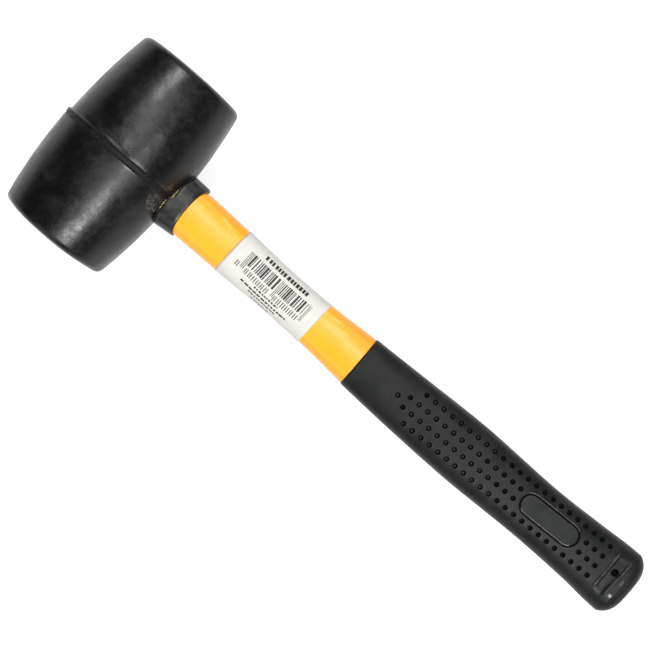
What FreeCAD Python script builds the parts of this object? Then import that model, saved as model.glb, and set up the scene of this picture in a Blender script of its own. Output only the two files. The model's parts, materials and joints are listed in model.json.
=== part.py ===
import FreeCAD, Part
import math
import os
import Sketcher

# Rubber mallet, lying on its side with one broad face of the handle up.
#
# Every sub-part is drawn in the mallet's own frame, in millimetres:
#   X runs along the handle from the head's axis to the butt,
#   Y runs along the head's axis, from one striking face to the other,
#   Z is square to the broad faces of the handle.
# One shared placement then tips the handle down until the butt and the mould flash of
# the head both touch Z = 0, and puts the origin at the middle of the box's underside.

DIMENSIONS = {
    # head: a solid rubber barrel, revolved about Y in two halves
    "head_length": 97.0,
    "head_radius": 31.2,
    "barrel_arc_radius": 265.0,
    "face_land_radius": 18.0,
    "face_crown_radius": 40.0,
    "face_edge_radius": 2.6,
    "half_shift": 0.6,
    # mould flash round the middle of the barrel, open where the neck ring sits
    "flash_height": 1.0,
    "flash_width": 3.4,
    "flash_middle": 0.3,
    "flash_arc": 310.0,
    # blind socket in the head and the glue round the handle in it
    "glue_gap": 0.6,
    "glue_floor": 1.0,
    "glue_top": 29.0,
    # corner radius of the jacket's sections, and the share of the half height at the butt
    "jacket_corner": 7.4,
    "butt_corner_share": 0.62,
    # handle root inside the head, with ring grooves that key it into the glue
    "root_start": -22.0,
    "root_end": 46.0,
    "groove_count": 3,
    "groove_width": 4.0,
    "groove_pitch": 12.0,
    "groove_depth": 1.2,
    # fibreglass rod through the handle
    "core_radius": 4.75,
    "core_start": -20.0,
    "core_end": 266.0,
    "core_chamfer": 0.8,
    # jacket tail under the grip
    "tail_half_width": 9.5,
    "tail_half_height": 7.0,
    "tail_corner": 5.0,
    "tail_end": 270.0,
    # shallow scoop in each broad face of the jacket
    "scoop_middle": 88.0,
    "scoop_depth": 1.0,
    "scoop_half_width": 6.4,
    "scoop_radius": 700.0,
    "scoop_reach": 6.0,
    # neck ring between the head and the jacket
    "collar_shift": 0.4,
    "collar_corner": 8.6,
    "collar_seat_radius": 32.3,
    "collar_front_radius": 24.0,
    "collar_front": 40.6,
    # squeezed-out glue between the head and the neck ring
    "bead_inner_radius": 31.85,
    "bead_proud": 0.3,
    # paper label round the jacket
    "label_start": 65.3,
    "label_end": 113.5,
    "label_thickness": 0.15,
    "label_edge_height": 1.3,
    "label_tuck_height": -5.8,
    # grip sleeve
    "grip_start": 139.5,
    "grip_corner": 7.8,
    # dimples: a lead one, then columns whose pitch closes up a little toward the butt
    "dimple_radius": 1.1,
    "dimple_first": 162.1,
    "dimple_shift": -0.68,
    "dimple_slant": 1.19,
    "dimple_pitch": 4.96,
    "dimple_closing": 0.0083,
    "dimple_row_pitch": 5.39,
    "dimple_floor": 10.7,
    # smooth oval plaque among the dimples
    "plaque_middle": 248.5,
    "plaque_shift": 1.05,
    "plaque_slant": 2.0,
    "plaque_half_length": 15.8,
    "plaque_half_width": 5.45,
    "plaque_rim": 0.9,
    "plaque_floor": 10.9,
    "plaque_top": 11.9,
    # shallow band across the butt, and the hang hole in it
    "band_start": 282.2,
    "band_end": 287.5,
    "band_shift": 0.8,
    "band_half_width": 8.9,
    "band_floor": 11.75,
    "hang_hole_middle": 285.2,
    "hang_hole_shift": 2.35,
    "hang_hole_radius": 1.65,
}

# Sections along the handle: distance from the head's axis, half width, half height.
JACKET_STATIONS = [
    (46.0, 11.9, 9.2),
    (66.0, 11.5, 9.0),
    (90.0, 10.65, 8.7),
    (116.0, 11.05, 8.9),
    (139.5, 12.5, 9.9),
]
GRIP_STATIONS = [
    (139.5, 12.8, 10.4),
    (168.0, 14.0, 11.5),
    (202.0, 15.0, 11.8),
    (243.0, 14.05, 11.5),
    (270.0, 14.85, 11.8),
    (284.0, 15.8, 12.3),
    (291.3, 15.95, 12.4),
]
BUTT_STATIONS = [
    (291.3, 15.95, 12.4),
    (293.5, 14.5, 11.3),
    (295.5, 12.1, 9.4),
    (297.1, 8.8, 6.4),
]
COLLAR_STATIONS = [
    (26.0, 14.2, 11.3),
    (42.0, 13.1, 10.3),
]
STATION_TABLES = {
    "jacket": JACKET_STATIONS,
    "grip": GRIP_STATIONS,
    "butt": BUTT_STATIONS,
    "collar": COLLAR_STATIONS,
}

# Dimple columns: all but the first two have four rows, or two where the plaque is.
LAST_DIMPLE_COLUMN = 24
PLAQUE_COLUMNS = range(15, 22)


doc = FreeCAD.newDocument("rubber_mallet")
dims = doc.addObject("Spreadsheet::Sheet", "dims")


def write_cell(row, alias, value):
    """Put one named dimension in the sheet."""
    dims.set("A%d" % row, alias)
    dims.set("B%d" % row, str(value))
    dims.setAlias("B%d" % row, alias)


def fill_sheet():
    """Write every driving dimension, and the section tables, into the sheet."""
    cells = dict(DIMENSIONS)
    for name, stations in STATION_TABLES.items():
        for index, (place, half_width, half_height) in enumerate(stations):
            cells["%s_place_%d" % (name, index)] = place
            cells["%s_width_%d" % (name, index)] = half_width
            cells["%s_height_%d" % (name, index)] = half_height
    for row, (alias, value) in enumerate(cells.items(), start=1):
        write_cell(row, alias, value)
    doc.recompute()


# ---------------------------------------------------------------- sketch helpers

def origin_feature(body, role):
    """The body's own origin plane or axis with this role."""
    for feature in body.Origin.OriginFeatures:
        if feature.Role == role:
            return feature
    raise ValueError("no origin feature " + role)


def new_body(label):
    """An empty body whose label is the sub-part's name."""
    body = doc.addObject("PartDesign::Body", label)
    body.Label = label
    return body


def new_sketch(body, name, role, **offsets):
    """A sketch on an origin plane; offsets are expressions for its shift x, y, z."""
    sketch = body.newObject("Sketcher::SketchObject", body.Name + "_" + name)
    sketch.AttachmentSupport = [(origin_feature(body, role), "")]
    sketch.MapMode = "FlatFace"
    for axis, expression in offsets.items():
        sketch.setExpression(".AttachmentOffset.Base." + axis, expression)
    return sketch


def number(sketch, expression):
    """The present value of an expression on the sheet."""
    return float(sketch.evalExpression(expression))


def drive(sketch, constraint, expression):
    """Add a dimension constraint and bind it to the sheet."""
    index = sketch.addConstraint(constraint)
    sketch.setExpression("Constraints[%d]" % index, expression)


def place_point(sketch, geometry, point, across, up):
    """Hold a point at the expressions (across, up) from the sketch's origin."""
    for kind, expression in (("DistanceX", across), ("DistanceY", up)):
        value = number(sketch, expression)
        drive(sketch, Sketcher.Constraint(kind, -1, 1, geometry, point, value), expression)


def add_circle(sketch, across, up, radius):
    """A circle whose middle and radius are expressions."""
    middle = FreeCAD.Vector(number(sketch, across), number(sketch, up), 0)
    size = number(sketch, radius)
    circle = sketch.addGeometry(Part.Circle(middle, FreeCAD.Vector(0, 0, 1), size), False)
    drive(sketch, Sketcher.Constraint("Radius", circle, size), radius)
    place_point(sketch, circle, 3, across, up)


def add_rectangle(sketch, left, right, low, high):
    """A rectangle between four expressions."""
    x0, x1, y0, y1 = (number(sketch, side) for side in (left, right, low, high))
    corners = [(x0, y0), (x1, y0), (x1, y1), (x0, y1)]
    add_polygon(sketch, corners)
    first = sketch.GeometryCount - 4
    place_point(sketch, first, 1, left, low)
    place_point(sketch, first + 2, 1, right, high)
    for step, kind in enumerate(("Horizontal", "Vertical", "Horizontal", "Vertical")):
        sketch.addConstraint(Sketcher.Constraint(kind, first + step))


def add_polygon(sketch, corners):
    """A closed outline of straight lines through the corners."""
    first = sketch.GeometryCount
    points = [FreeCAD.Vector(x, y, 0) for x, y in corners]
    for start, end in zip(points, points[1:] + points[:1]):
        sketch.addGeometry(Part.LineSegment(start, end), False)
    count = len(points)
    for step in range(count):
        following = first + (step + 1) % count
        sketch.addConstraint(Sketcher.Constraint("Coincident", first + step, 2, following, 1))


def add_rounded_rectangle(sketch, half_width, half_height, corner):
    """A rounded rectangle about the sketch's origin; sizes are expressions."""
    wide, high, radius = (number(sketch, size) for size in (half_width, half_height, corner))
    arm_x, arm_y = wide - radius, high - radius
    first = sketch.GeometryCount
    normal = FreeCAD.Vector(0, 0, 1)
    quadrants = [(arm_x, arm_y), (-arm_x, arm_y), (-arm_x, -arm_y), (arm_x, -arm_y)]
    for turn, (x, y) in enumerate(quadrants):
        circle = Part.Circle(FreeCAD.Vector(x, y, 0), normal, radius)
        begin = turn * math.pi / 2
        sketch.addGeometry(Part.ArcOfCircle(circle, begin, begin + math.pi / 2), False)
    sides = [((arm_x, high), (-arm_x, high)), ((-wide, arm_y), (-wide, -arm_y)),
             ((-arm_x, -high), (arm_x, -high)), ((wide, -arm_y), (wide, arm_y))]
    for start, end in sides:
        line = Part.LineSegment(FreeCAD.Vector(*start, 0), FreeCAD.Vector(*end, 0))
        sketch.addGeometry(line, False)
    for turn in range(4):
        arc, line, following = first + turn, first + 4 + turn, first + (turn + 1) % 4
        sketch.addConstraint(Sketcher.Constraint("Tangent", arc, 2, line, 1))
        sketch.addConstraint(Sketcher.Constraint("Tangent", line, 2, following, 1))
        if turn:
            sketch.addConstraint(Sketcher.Constraint("Equal", first, arc))
    drive(sketch, Sketcher.Constraint("Radius", first, radius), corner)
    place_point(sketch, first, 3, "%s - %s" % (half_width, corner),
                "%s - %s" % (half_height, corner))
    sketch.addConstraint(Sketcher.Constraint("Symmetric", first, 3, first + 1, 3, -2))
    sketch.addConstraint(Sketcher.Constraint("Symmetric", first, 3, first + 3, 3, -1))
    sketch.addConstraint(Sketcher.Constraint("Symmetric", first, 3, first + 2, 3, -1, 1))


def add_stadium(sketch, half_length, half_width):
    """A slot outline about the sketch's origin, long side along its X."""
    long, wide = number(sketch, half_length), number(sketch, half_width)
    arm = long - wide
    first = sketch.GeometryCount
    normal = FreeCAD.Vector(0, 0, 1)
    for side, begin in ((arm, -math.pi / 2), (-arm, math.pi / 2)):
        circle = Part.Circle(FreeCAD.Vector(side, 0, 0), normal, wide)
        sketch.addGeometry(Part.ArcOfCircle(circle, begin, begin + math.pi), False)
    for start, end in (((arm, wide), (-arm, wide)), ((-arm, -wide), (arm, -wide))):
        line = Part.LineSegment(FreeCAD.Vector(*start, 0), FreeCAD.Vector(*end, 0))
        sketch.addGeometry(line, False)
    for turn in range(2):
        sketch.addConstraint(Sketcher.Constraint("Tangent", first + turn, 2, first + 2 + turn, 1))
        following = first + (turn + 1) % 2
        sketch.addConstraint(Sketcher.Constraint("Tangent", first + 2 + turn, 2, following, 1))
    sketch.addConstraint(Sketcher.Constraint("Equal", first, first + 1))
    drive(sketch, Sketcher.Constraint("Radius", first, wide), half_width)
    place_point(sketch, first, 3, "%s - %s" % (half_length, half_width), "0")
    sketch.addConstraint(Sketcher.Constraint("Symmetric", first, 3, first + 1, 3, -2))


# --------------------------------------------------------------- feature helpers

def pad(body, sketch, length, both_ways=False):
    """Pad a sketch by an expression, along its normal or half each way."""
    feature = body.newObject("PartDesign::Pad", sketch.Name + "_pad")
    feature.Profile = sketch
    feature.setExpression("Length", length)
    feature.Midplane = both_ways
    return feature


def cut(body, sketch, length=None, forward=False, both_ways=False):
    """Pocket a sketch: through everything, or by an expression; forward is along its normal."""
    feature = body.newObject("PartDesign::Pocket", sketch.Name + "_cut")
    feature.Profile = sketch
    feature.Type = "Length" if length else "ThroughAll"
    if length:
        feature.setExpression("Length", length)
    feature.Reversed = forward
    feature.Midplane = both_ways
    return feature


def repeat(body, feature, direction, count, pitch):
    """Repeat a feature in a straight row; count and pitch are expressions."""
    row = body.newObject("PartDesign::LinearPattern", feature.Name + "_row")
    row.Originals = [feature]
    row.Direction = direction
    row.setExpression("Occurrences", count)
    row.setExpression("Length", "(%s - 1) * %s" % (count, pitch))
    body.Tip = row
    return row


def loft(body, table, corner, grow=None, kind="Additive"):
    """Loft rounded rectangles through the table's stations, each grown by an expression."""
    extra = " + " + grow if grow else ""
    sections = []
    for index in range(len(STATION_TABLES[table])):
        offsets = {"z": "dims.%s_place_%d" % (table, index)}
        if table == "collar":
            offsets["x"] = "dims.collar_shift"
        name = "%s_%s_%d" % (kind.lower(), table, index)
        sketch = new_sketch(body, name, "YZ_Plane", **offsets)
        half_width = "(dims.%s_width_%d%s)" % (table, index, extra)
        half_height = "(dims.%s_height_%d%s)" % (table, index, extra)
        radius = corner if corner else "(dims.butt_corner_share * %s)" % half_height
        add_rounded_rectangle(sketch, half_width, half_height, radius)
        sections.append(sketch)
    feature = body.newObject("PartDesign::%sLoft" % kind, "%s_%s_loft" % (body.Name, table))
    feature.Profile = sections[0]
    feature.Sections = sections[1:]
    return feature


# --------------------------------------------------------------------- sub-parts

def head_half_profile(sketch, side):
    """Half of the barrel's section: axis, parting plane, barrel arc, crowned face."""
    span = number(sketch, "dims.head_length") / 2
    radius = number(sketch, "dims.head_radius")
    barrel = number(sketch, "dims.barrel_arc_radius")
    land = number(sketch, "dims.face_land_radius")
    crown = number(sketch, "dims.face_crown_radius")
    parting = number(sketch, "dims.flash_middle")
    normal = FreeCAD.Vector(0, 0, 1)
    barrel_middle = FreeCAD.Vector(radius - barrel, 0, 0)
    crown_middle = FreeCAD.Vector(land, side * (span - crown), 0)
    barrel_circle = Part.Circle(barrel_middle, normal, barrel)
    crown_circle = Part.Circle(crown_middle, normal, crown)
    corner = max((FreeCAD.Vector(point.X, point.Y, 0)
                  for point in barrel_circle.intersect(crown_circle)), key=lambda p: side * p.y)
    foot = FreeCAD.Vector(barrel_middle.x + math.sqrt(barrel ** 2 - parting ** 2), parting, 0)
    land_edge = FreeCAD.Vector(land, side * span, 0)
    arcs = ((barrel_circle, foot, corner), (crown_circle, corner, land_edge))
    for circle, start, end in arcs:
        low, high = (start, end) if side > 0 else (end, start)
        begin, finish = circle.parameter(low), circle.parameter(high)
        sketch.addGeometry(Part.ArcOfCircle(circle, begin, finish), False)
    face_middle = FreeCAD.Vector(0, side * span, 0)
    axis_foot = FreeCAD.Vector(0, parting, 0)
    for start, end in ((land_edge, face_middle), (face_middle, axis_foot), (axis_foot, foot)):
        sketch.addGeometry(Part.LineSegment(start, end), False)
    far, near = (2, 1) if side > 0 else (1, 2)
    for join in ((0, far, 1, near), (2, 2, 3, 1), (3, 2, 4, 1), (4, 2, 0, near)):
        sketch.addConstraint(Sketcher.Constraint("Coincident", *join))
    sketch.addConstraint(Sketcher.Constraint("Tangent", 1, far, 2, 1))
    sketch.addConstraint(Sketcher.Constraint("PointOnObject", 3, 1, -2))
    sketch.addConstraint(Sketcher.Constraint("Horizontal", 2))
    sketch.addConstraint(Sketcher.Constraint("Horizontal", 4))
    drive(sketch, Sketcher.Constraint("Radius", 0, barrel), "dims.barrel_arc_radius")
    drive(sketch, Sketcher.Constraint("Radius", 1, crown), "dims.face_crown_radius")
    place_point(sketch, 0, 3, "dims.head_radius - dims.barrel_arc_radius", "0")
    place_point(sketch, 1, 3, "dims.face_land_radius",
                "%d * (dims.head_length / 2 - dims.face_crown_radius)" % side)
    place_point(sketch, 3, 2, "0", "dims.flash_middle")


def revolve(body, sketch, angle=None):
    """Revolve a sketch about its own vertical axis."""
    feature = body.newObject("PartDesign::Revolution", sketch.Name + "_turn")
    feature.Profile = sketch
    feature.ReferenceAxis = (sketch, ["V_Axis"])
    if angle:
        feature.Midplane = True
        feature.setExpression("Angle", angle)
    return feature


def face_corner_edges(shape):
    """Names of the barrel's two outer corners, the wide circles near the striking faces."""
    names = []
    for index, edge in enumerate(shape.Edges, start=1):
        if not isinstance(edge.Curve, Part.Circle):
            continue
        wide = edge.Curve.Radius > 1.2 * dims.get("face_land_radius")
        if wide and abs(edge.Curve.Center.y) > 0.3 * dims.get("head_length"):
            names.append("Edge%d" % index)
    return names


def make_head():
    """Solid rubber barrel in two slightly mismatched halves, with flash and a blind socket."""
    body = new_body("rubber_head")
    for name, side in (("upper", 1), ("lower", -1)):
        sketch = new_sketch(body, name, "XY_Plane", x="%d * dims.half_shift" % side)
        head_half_profile(sketch, side)
        turned = revolve(body, sketch)
    doc.recompute()
    rounding = body.newObject("PartDesign::Fillet", "head_rounding")
    rounding.Base = (turned, face_corner_edges(turned.Shape))
    rounding.setExpression("Radius", "dims.face_edge_radius")
    body.Tip = rounding
    flash = new_sketch(body, "flash", "XY_Plane")
    add_rectangle(flash, "-dims.head_radius - dims.flash_height", "-dims.head_radius + 2",
                  "dims.flash_middle - dims.flash_width / 2",
                  "dims.flash_middle + dims.flash_width / 2")
    revolve(body, flash, "dims.flash_arc")
    socket = new_sketch(body, "socket", "YZ_Plane", z="dims.root_start - dims.glue_floor")
    add_rounded_rectangle(socket, "(dims.jacket_width_0 + dims.glue_gap)",
                          "(dims.jacket_height_0 + dims.glue_gap)",
                          "(dims.jacket_corner + dims.glue_gap)")
    cut(body, socket, forward=True)
    return body


def make_socket_adhesive():
    """Epoxy cup between the socket wall and the handle root, keyed into its grooves."""
    body = new_body("socket_adhesive")
    outside = new_sketch(body, "outside", "YZ_Plane", z="dims.root_start - dims.glue_floor")
    add_rounded_rectangle(outside, "(dims.jacket_width_0 + dims.glue_gap)",
                          "(dims.jacket_height_0 + dims.glue_gap)",
                          "(dims.jacket_corner + dims.glue_gap)")
    pad(body, outside, "dims.glue_top - dims.root_start + dims.glue_floor")
    throat = new_sketch(body, "throat", "YZ_Plane", z="dims.root_start")
    add_root_section(throat, "dims.groove_depth")
    cut(body, throat, forward=True)
    land = new_sketch(body, "land", "YZ_Plane", z="dims.root_start")
    add_root_section(land)
    first = cut(body, land, "dims.groove_pitch - dims.groove_width", forward=True)
    repeat(body, first, (origin_feature(body, "X_Axis"), [""]), "dims.groove_count",
           "dims.groove_pitch")
    mouth = new_sketch(body, "mouth", "YZ_Plane",
                       z="dims.root_start + dims.groove_count * dims.groove_pitch")
    add_root_section(mouth)
    cut(body, mouth, forward=True)
    return body


def add_root_section(sketch, inset=None):
    """The handle root's outline, drawn in by an expression."""
    less = " - " + inset if inset else ""
    add_rounded_rectangle(sketch, "(dims.jacket_width_0%s)" % less,
                          "(dims.jacket_height_0%s)" % less, "(dims.jacket_corner%s)" % less)


def make_core():
    """Straight fibreglass rod with chamfered ends."""
    body = new_body("fibreglass_core")
    section = new_sketch(body, "section", "YZ_Plane", z="dims.core_start")
    add_circle(section, "0", "0", "dims.core_radius")
    rod = pad(body, section, "dims.core_end - dims.core_start")
    doc.recompute()
    ends = body.newObject("PartDesign::Chamfer", "core_ends")
    ends.Base = (rod, ["Edge%d" % (i + 1) for i, edge in enumerate(rod.Shape.Edges)
                       if isinstance(edge.Curve, Part.Circle)])
    ends.setExpression("Size", "dims.core_chamfer")
    body.Tip = ends
    return body


def make_jacket():
    """Yellow plastic jacket: grooved root, waisted shaft with scooped faces, tail in the grip."""
    body = new_body("shaft_jacket")
    root = new_sketch(body, "root", "YZ_Plane", z="dims.root_start")
    add_root_section(root)
    pad(body, root, "dims.root_end - dims.root_start")
    loft(body, "jacket", "dims.jacket_corner")
    tail = new_sketch(body, "tail", "YZ_Plane", z="dims.grip_start")
    add_rounded_rectangle(tail, "dims.tail_half_width", "dims.tail_half_height",
                          "dims.tail_corner")
    pad(body, tail, "dims.tail_end - dims.grip_start")
    ring = new_sketch(body, "ring", "YZ_Plane",
                      z="dims.root_start + dims.groove_pitch - dims.groove_width")
    add_circle(ring, "0", "0", "dims.head_radius")
    add_root_section(ring, "dims.groove_depth")
    groove = cut(body, ring, "dims.groove_width", forward=True)
    repeat(body, groove, (origin_feature(body, "X_Axis"), [""]), "dims.groove_count",
           "dims.groove_pitch")
    bore = new_sketch(body, "bore", "YZ_Plane", z="dims.core_start")
    add_circle(bore, "0", "0", "dims.core_radius")
    cut(body, bore, "dims.core_end - dims.core_start", forward=True)
    for name, side in (("top", 1), ("bottom", -1)):
        scoop_face(body, name, side)
    return body


def scoop_face(body, name, side):
    """Turn a very large, shallow groove into one broad face, fading out at both ends."""
    rise = "(dims.jacket_height_2 - dims.scoop_depth + dims.scoop_radius)"
    sketch = new_sketch(body, name + "_scoop", "YZ_Plane", z="dims.scoop_middle",
                        y="%d * %s" % (side, rise))
    near, far = "dims.scoop_radius", "(dims.scoop_radius - dims.scoop_reach)"
    low, high = ("-" + near, "-" + far) if side > 0 else (far, near)
    add_rectangle(sketch, "-dims.scoop_half_width", "dims.scoop_half_width", low, high)
    groove = body.newObject("PartDesign::Groove", body.Name + "_" + name + "_groove")
    groove.Profile = sketch
    groove.ReferenceAxis = (sketch, ["H_Axis"])
    groove.Angle = 10.0
    groove.Midplane = True


def make_collar():
    """Black rubber ring pushed against the barrel, so both its ends are saddle shaped."""
    body = new_body("neck_collar")
    loft(body, "collar", "dims.collar_corner")
    seat = new_sketch(body, "seat", "XZ_Plane")
    add_circle(seat, "0", "0", "dims.collar_seat_radius")
    cut(body, seat, both_ways=True)
    front = new_sketch(body, "front", "XZ_Plane")
    add_circle(front, "dims.collar_front - dims.collar_front_radius", "0",
               "2 * dims.collar_front_radius")
    add_circle(front, "dims.collar_front - dims.collar_front_radius", "0",
               "dims.collar_front_radius")
    cut(body, front, both_ways=True)
    hole = new_sketch(body, "hole", "YZ_Plane")
    add_root_section(hole)
    cut(body, hole, forward=True)
    return body


def make_glue_bead():
    """Thin saddle of squeezed-out glue between the barrel and the neck ring."""
    body = new_body("glue_bead")
    block = new_sketch(body, "block", "YZ_Plane", z="dims.root_end / 2", x="dims.collar_shift")
    add_rounded_rectangle(block, "(dims.collar_width_0 + dims.bead_proud)",
                          "(dims.collar_height_0 + dims.bead_proud)",
                          "(dims.collar_corner + dims.bead_proud)")
    pad(body, block, "dims.root_end / 2")
    inside = new_sketch(body, "inside", "XZ_Plane")
    add_circle(inside, "0", "0", "dims.bead_inner_radius")
    cut(body, inside, both_ways=True)
    outside = new_sketch(body, "outside", "XZ_Plane")
    add_circle(outside, "0", "0", "2 * dims.collar_seat_radius")
    add_circle(outside, "0", "0", "dims.collar_seat_radius")
    cut(body, outside, both_ways=True)
    hole = new_sketch(body, "hole", "YZ_Plane")
    add_root_section(hole)
    cut(body, hole, forward=True)
    return body


def make_label():
    """Paper label wrapped over the upper face and tucked under one edge of the jacket."""
    body = new_body("barcode_label")
    loft(body, "jacket", "(dims.jacket_corner + dims.label_thickness)", "dims.label_thickness")
    loft(body, "jacket", "dims.jacket_corner", kind="Subtractive")
    ends = new_sketch(body, "ends", "XY_Plane")
    for left, right in (("dims.root_end - 5", "dims.label_start"),
                        ("dims.label_end", "dims.grip_start + 5")):
        add_rectangle(ends, left, right, "-dims.head_radius", "dims.head_radius")
    cut(body, ends, both_ways=True)
    under = new_sketch(body, "under", "YZ_Plane")
    reach = number(under, "dims.head_radius")
    edge = number(under, "dims.label_edge_height")
    tuck = number(under, "dims.label_tuck_height")
    width = number(under, "dims.jacket_width_1")
    slope = (edge - tuck) / (2 * width)
    middle = (edge + tuck) / 2
    add_polygon(under, [(-reach, middle - slope * reach), (-reach, -reach), (reach, -reach),
                        (reach, middle + slope * reach)])
    cut(body, under, forward=True)
    return body


def make_grip():
    """Rubber sleeve, solid beyond the jacket's tail, with dimples, a plaque and a hang hole."""
    body = new_body("grip_sleeve")
    loft(body, "grip", "dims.grip_corner")
    loft(body, "butt", None)
    cavity = new_sketch(body, "cavity", "YZ_Plane", z="dims.grip_start")
    add_rounded_rectangle(cavity, "dims.tail_half_width", "dims.tail_half_height",
                          "dims.tail_corner")
    cut(body, cavity, "dims.tail_end - dims.grip_start", forward=True)
    hole = new_sketch(body, "hang_hole", "XY_Plane")
    add_circle(hole, "dims.hang_hole_middle", "dims.hang_hole_shift", "dims.hang_hole_radius")
    cut(body, hole, both_ways=True)
    for name, side in (("top", 1), ("bottom", -1)):
        shape_grip_face(body, name, side)
    return body


def shape_grip_face(body, name, side):
    """The raised plaque, the butt's shallow band and the dimple field of one broad face."""
    outward = side > 0
    groove = plaque_sketch(body, name + "_plaque_groove", "%d * dims.plaque_floor" % side)
    add_stadium(groove, "dims.plaque_half_length", "dims.plaque_half_width")
    cut(body, groove, forward=outward)
    pad_sketch = plaque_sketch(body, name + "_plaque", "%d * (dims.plaque_floor - 1)" % side)
    add_stadium(pad_sketch, "(dims.plaque_half_length - dims.plaque_rim)",
                "(dims.plaque_half_width - dims.plaque_rim)")
    plaque = pad(body, pad_sketch, "dims.plaque_top - dims.plaque_floor + 1")
    plaque.Reversed = not outward
    band = new_sketch(body, name + "_band", "XY_Plane", z="%d * dims.band_floor" % side)
    add_rectangle(band, "dims.band_start", "dims.band_end",
                  "dims.band_shift - dims.band_half_width",
                  "dims.band_shift + dims.band_half_width")
    cut(body, band, forward=outward)
    dimples = new_sketch(body, name + "_dimples", "XY_Plane", x="dims.dimple_first",
                         y="dims.dimple_shift", z="%d * dims.dimple_floor" % side)
    dimples.setExpression(".AttachmentOffset.Rotation.Angle", "dims.dimple_slant")
    for column, row in dimple_grid():
        along = "%d * dims.dimple_pitch - %d * dims.dimple_closing" % (column, column ** 2)
        add_circle(dimples, along, "%d * dims.dimple_row_pitch / 2" % row, "dims.dimple_radius")
    cut(body, dimples, forward=outward)


def plaque_sketch(body, name, height):
    """A sketch over the plaque's middle, turned with it, at the height expression."""
    sketch = new_sketch(body, name, "XY_Plane", x="dims.plaque_middle", y="dims.plaque_shift",
                        z=height)
    sketch.setExpression(".AttachmentOffset.Rotation.Angle", "dims.plaque_slant")
    return sketch


def dimple_grid():
    """Column and row of every dimple; rows are counted in half row pitches."""
    places = [(0, 0), (1, 1), (1, -1)]
    for column in range(2, LAST_DIMPLE_COLUMN + 1):
        rows = (3, -3) if column in PLAQUE_COLUMNS else (3, 1, -1, -3)
        places += [(column, row) for row in rows]
    return places


# ------------------------------------------------------------- placing and writing

def joined_box(bodies):
    """The box round all the bodies where they now are."""
    box = FreeCAD.BoundBox()
    for body in bodies:
        box.add(body.Shape.optimalBoundingBox(False, False))
    return box


def lay_down(bodies):
    """Tip the handle down on to its butt and move the origin under the box's middle."""
    drop = dims.get("head_radius") + dims.get("flash_height") - dims.get("butt_height_0")
    tilt = math.degrees(math.asin(drop / dims.get("butt_place_0")))
    turn = FreeCAD.Rotation(FreeCAD.Vector(0, 1, 0), tilt)
    for body in bodies:
        body.Placement = FreeCAD.Placement(FreeCAD.Vector(0, 0, 0), turn)
    doc.recompute()
    box = joined_box(bodies)
    move = FreeCAD.Vector(-box.Center.x, -box.Center.y, -box.ZMin)
    for body in bodies:
        body.Placement = FreeCAD.Placement(move, turn)
    doc.recompute()
    print("tilt %.4f move %.4f %.4f %.4f" % (tilt, move.x, move.y, move.z))


def check(bodies):
    """Stop if any object failed or any sub-part has no sound shape."""
    for item in doc.Objects:
        if "Invalid" in item.State or "Error" in item.State:
            raise RuntimeError("%s failed: %s" % (item.Label, item.State))
    for body in bodies:
        shape = body.Shape
        if shape.isNull() or not shape.isValid():
            raise RuntimeError(body.Label + " has no valid shape")
        print("%-18s solids %d volume %10.1f mm3" % (body.Label, len(shape.Solids), shape.Volume))


def export(bodies):
    """Write one STEP file for each sub-part."""
    os.makedirs("parts", exist_ok=True)
    for body in bodies:
        body.Shape.exportStep(os.path.join("parts", body.Label + ".step"))


def main():
    """Build, place, check and write the mallet."""
    fill_sheet()
    bodies = [make_head(), make_socket_adhesive(), make_core(), make_jacket(), make_collar(),
              make_glue_bead(), make_label(), make_grip()]
    doc.recompute()
    lay_down(bodies)
    check(bodies)
    export(bodies)


main()
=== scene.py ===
import json
import math
import random

import bmesh
import bpy
import numpy as np
from mathutils import Matrix, Vector, noise


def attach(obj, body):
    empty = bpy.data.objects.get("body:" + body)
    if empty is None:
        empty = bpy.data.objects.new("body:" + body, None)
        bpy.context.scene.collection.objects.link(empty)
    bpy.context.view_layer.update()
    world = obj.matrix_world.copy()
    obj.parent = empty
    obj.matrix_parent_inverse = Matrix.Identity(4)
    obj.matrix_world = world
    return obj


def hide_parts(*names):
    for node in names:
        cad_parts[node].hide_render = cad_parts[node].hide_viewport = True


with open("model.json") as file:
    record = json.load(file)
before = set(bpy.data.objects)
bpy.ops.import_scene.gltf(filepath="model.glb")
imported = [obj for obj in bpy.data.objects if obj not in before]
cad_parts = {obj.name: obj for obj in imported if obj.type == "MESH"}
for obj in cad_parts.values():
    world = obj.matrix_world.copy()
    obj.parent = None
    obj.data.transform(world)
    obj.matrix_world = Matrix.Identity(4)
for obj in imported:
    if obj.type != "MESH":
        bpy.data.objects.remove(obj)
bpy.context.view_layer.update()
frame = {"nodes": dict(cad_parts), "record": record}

# Rubber mallet on a pale floor.
#
# Shapes are worked out in the mallet's own frame, in millimetres, the same one its CAD
# parts are drawn in: X along the handle from the head's axis, Y along the head's axis,
# Z square to the handle's broad faces. TO_ROW carries that frame to where the packed
# model's mounts say it lies, in metres.

MOUNTS = {mount["name"]: mount for mount in frame["record"]["mounts"]}
UP = Vector(MOUNTS["hang_hole"]["axis"]).normalized()
ACROSS = Vector((0.0, 1.0, 0.0))
ALONG = ACROSS.cross(UP)
FACE_A = Vector(MOUNTS["strike_face_a"]["pos_m"])
FACE_B = Vector(MOUNTS["strike_face_b"]["pos_m"])
TO_ROW = (Matrix.Translation((FACE_A + FACE_B) / 2) @ Matrix((ALONG, ACROSS, UP)).transposed().to_4x4()
          @ Matrix.Scale(0.001, 4))

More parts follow.
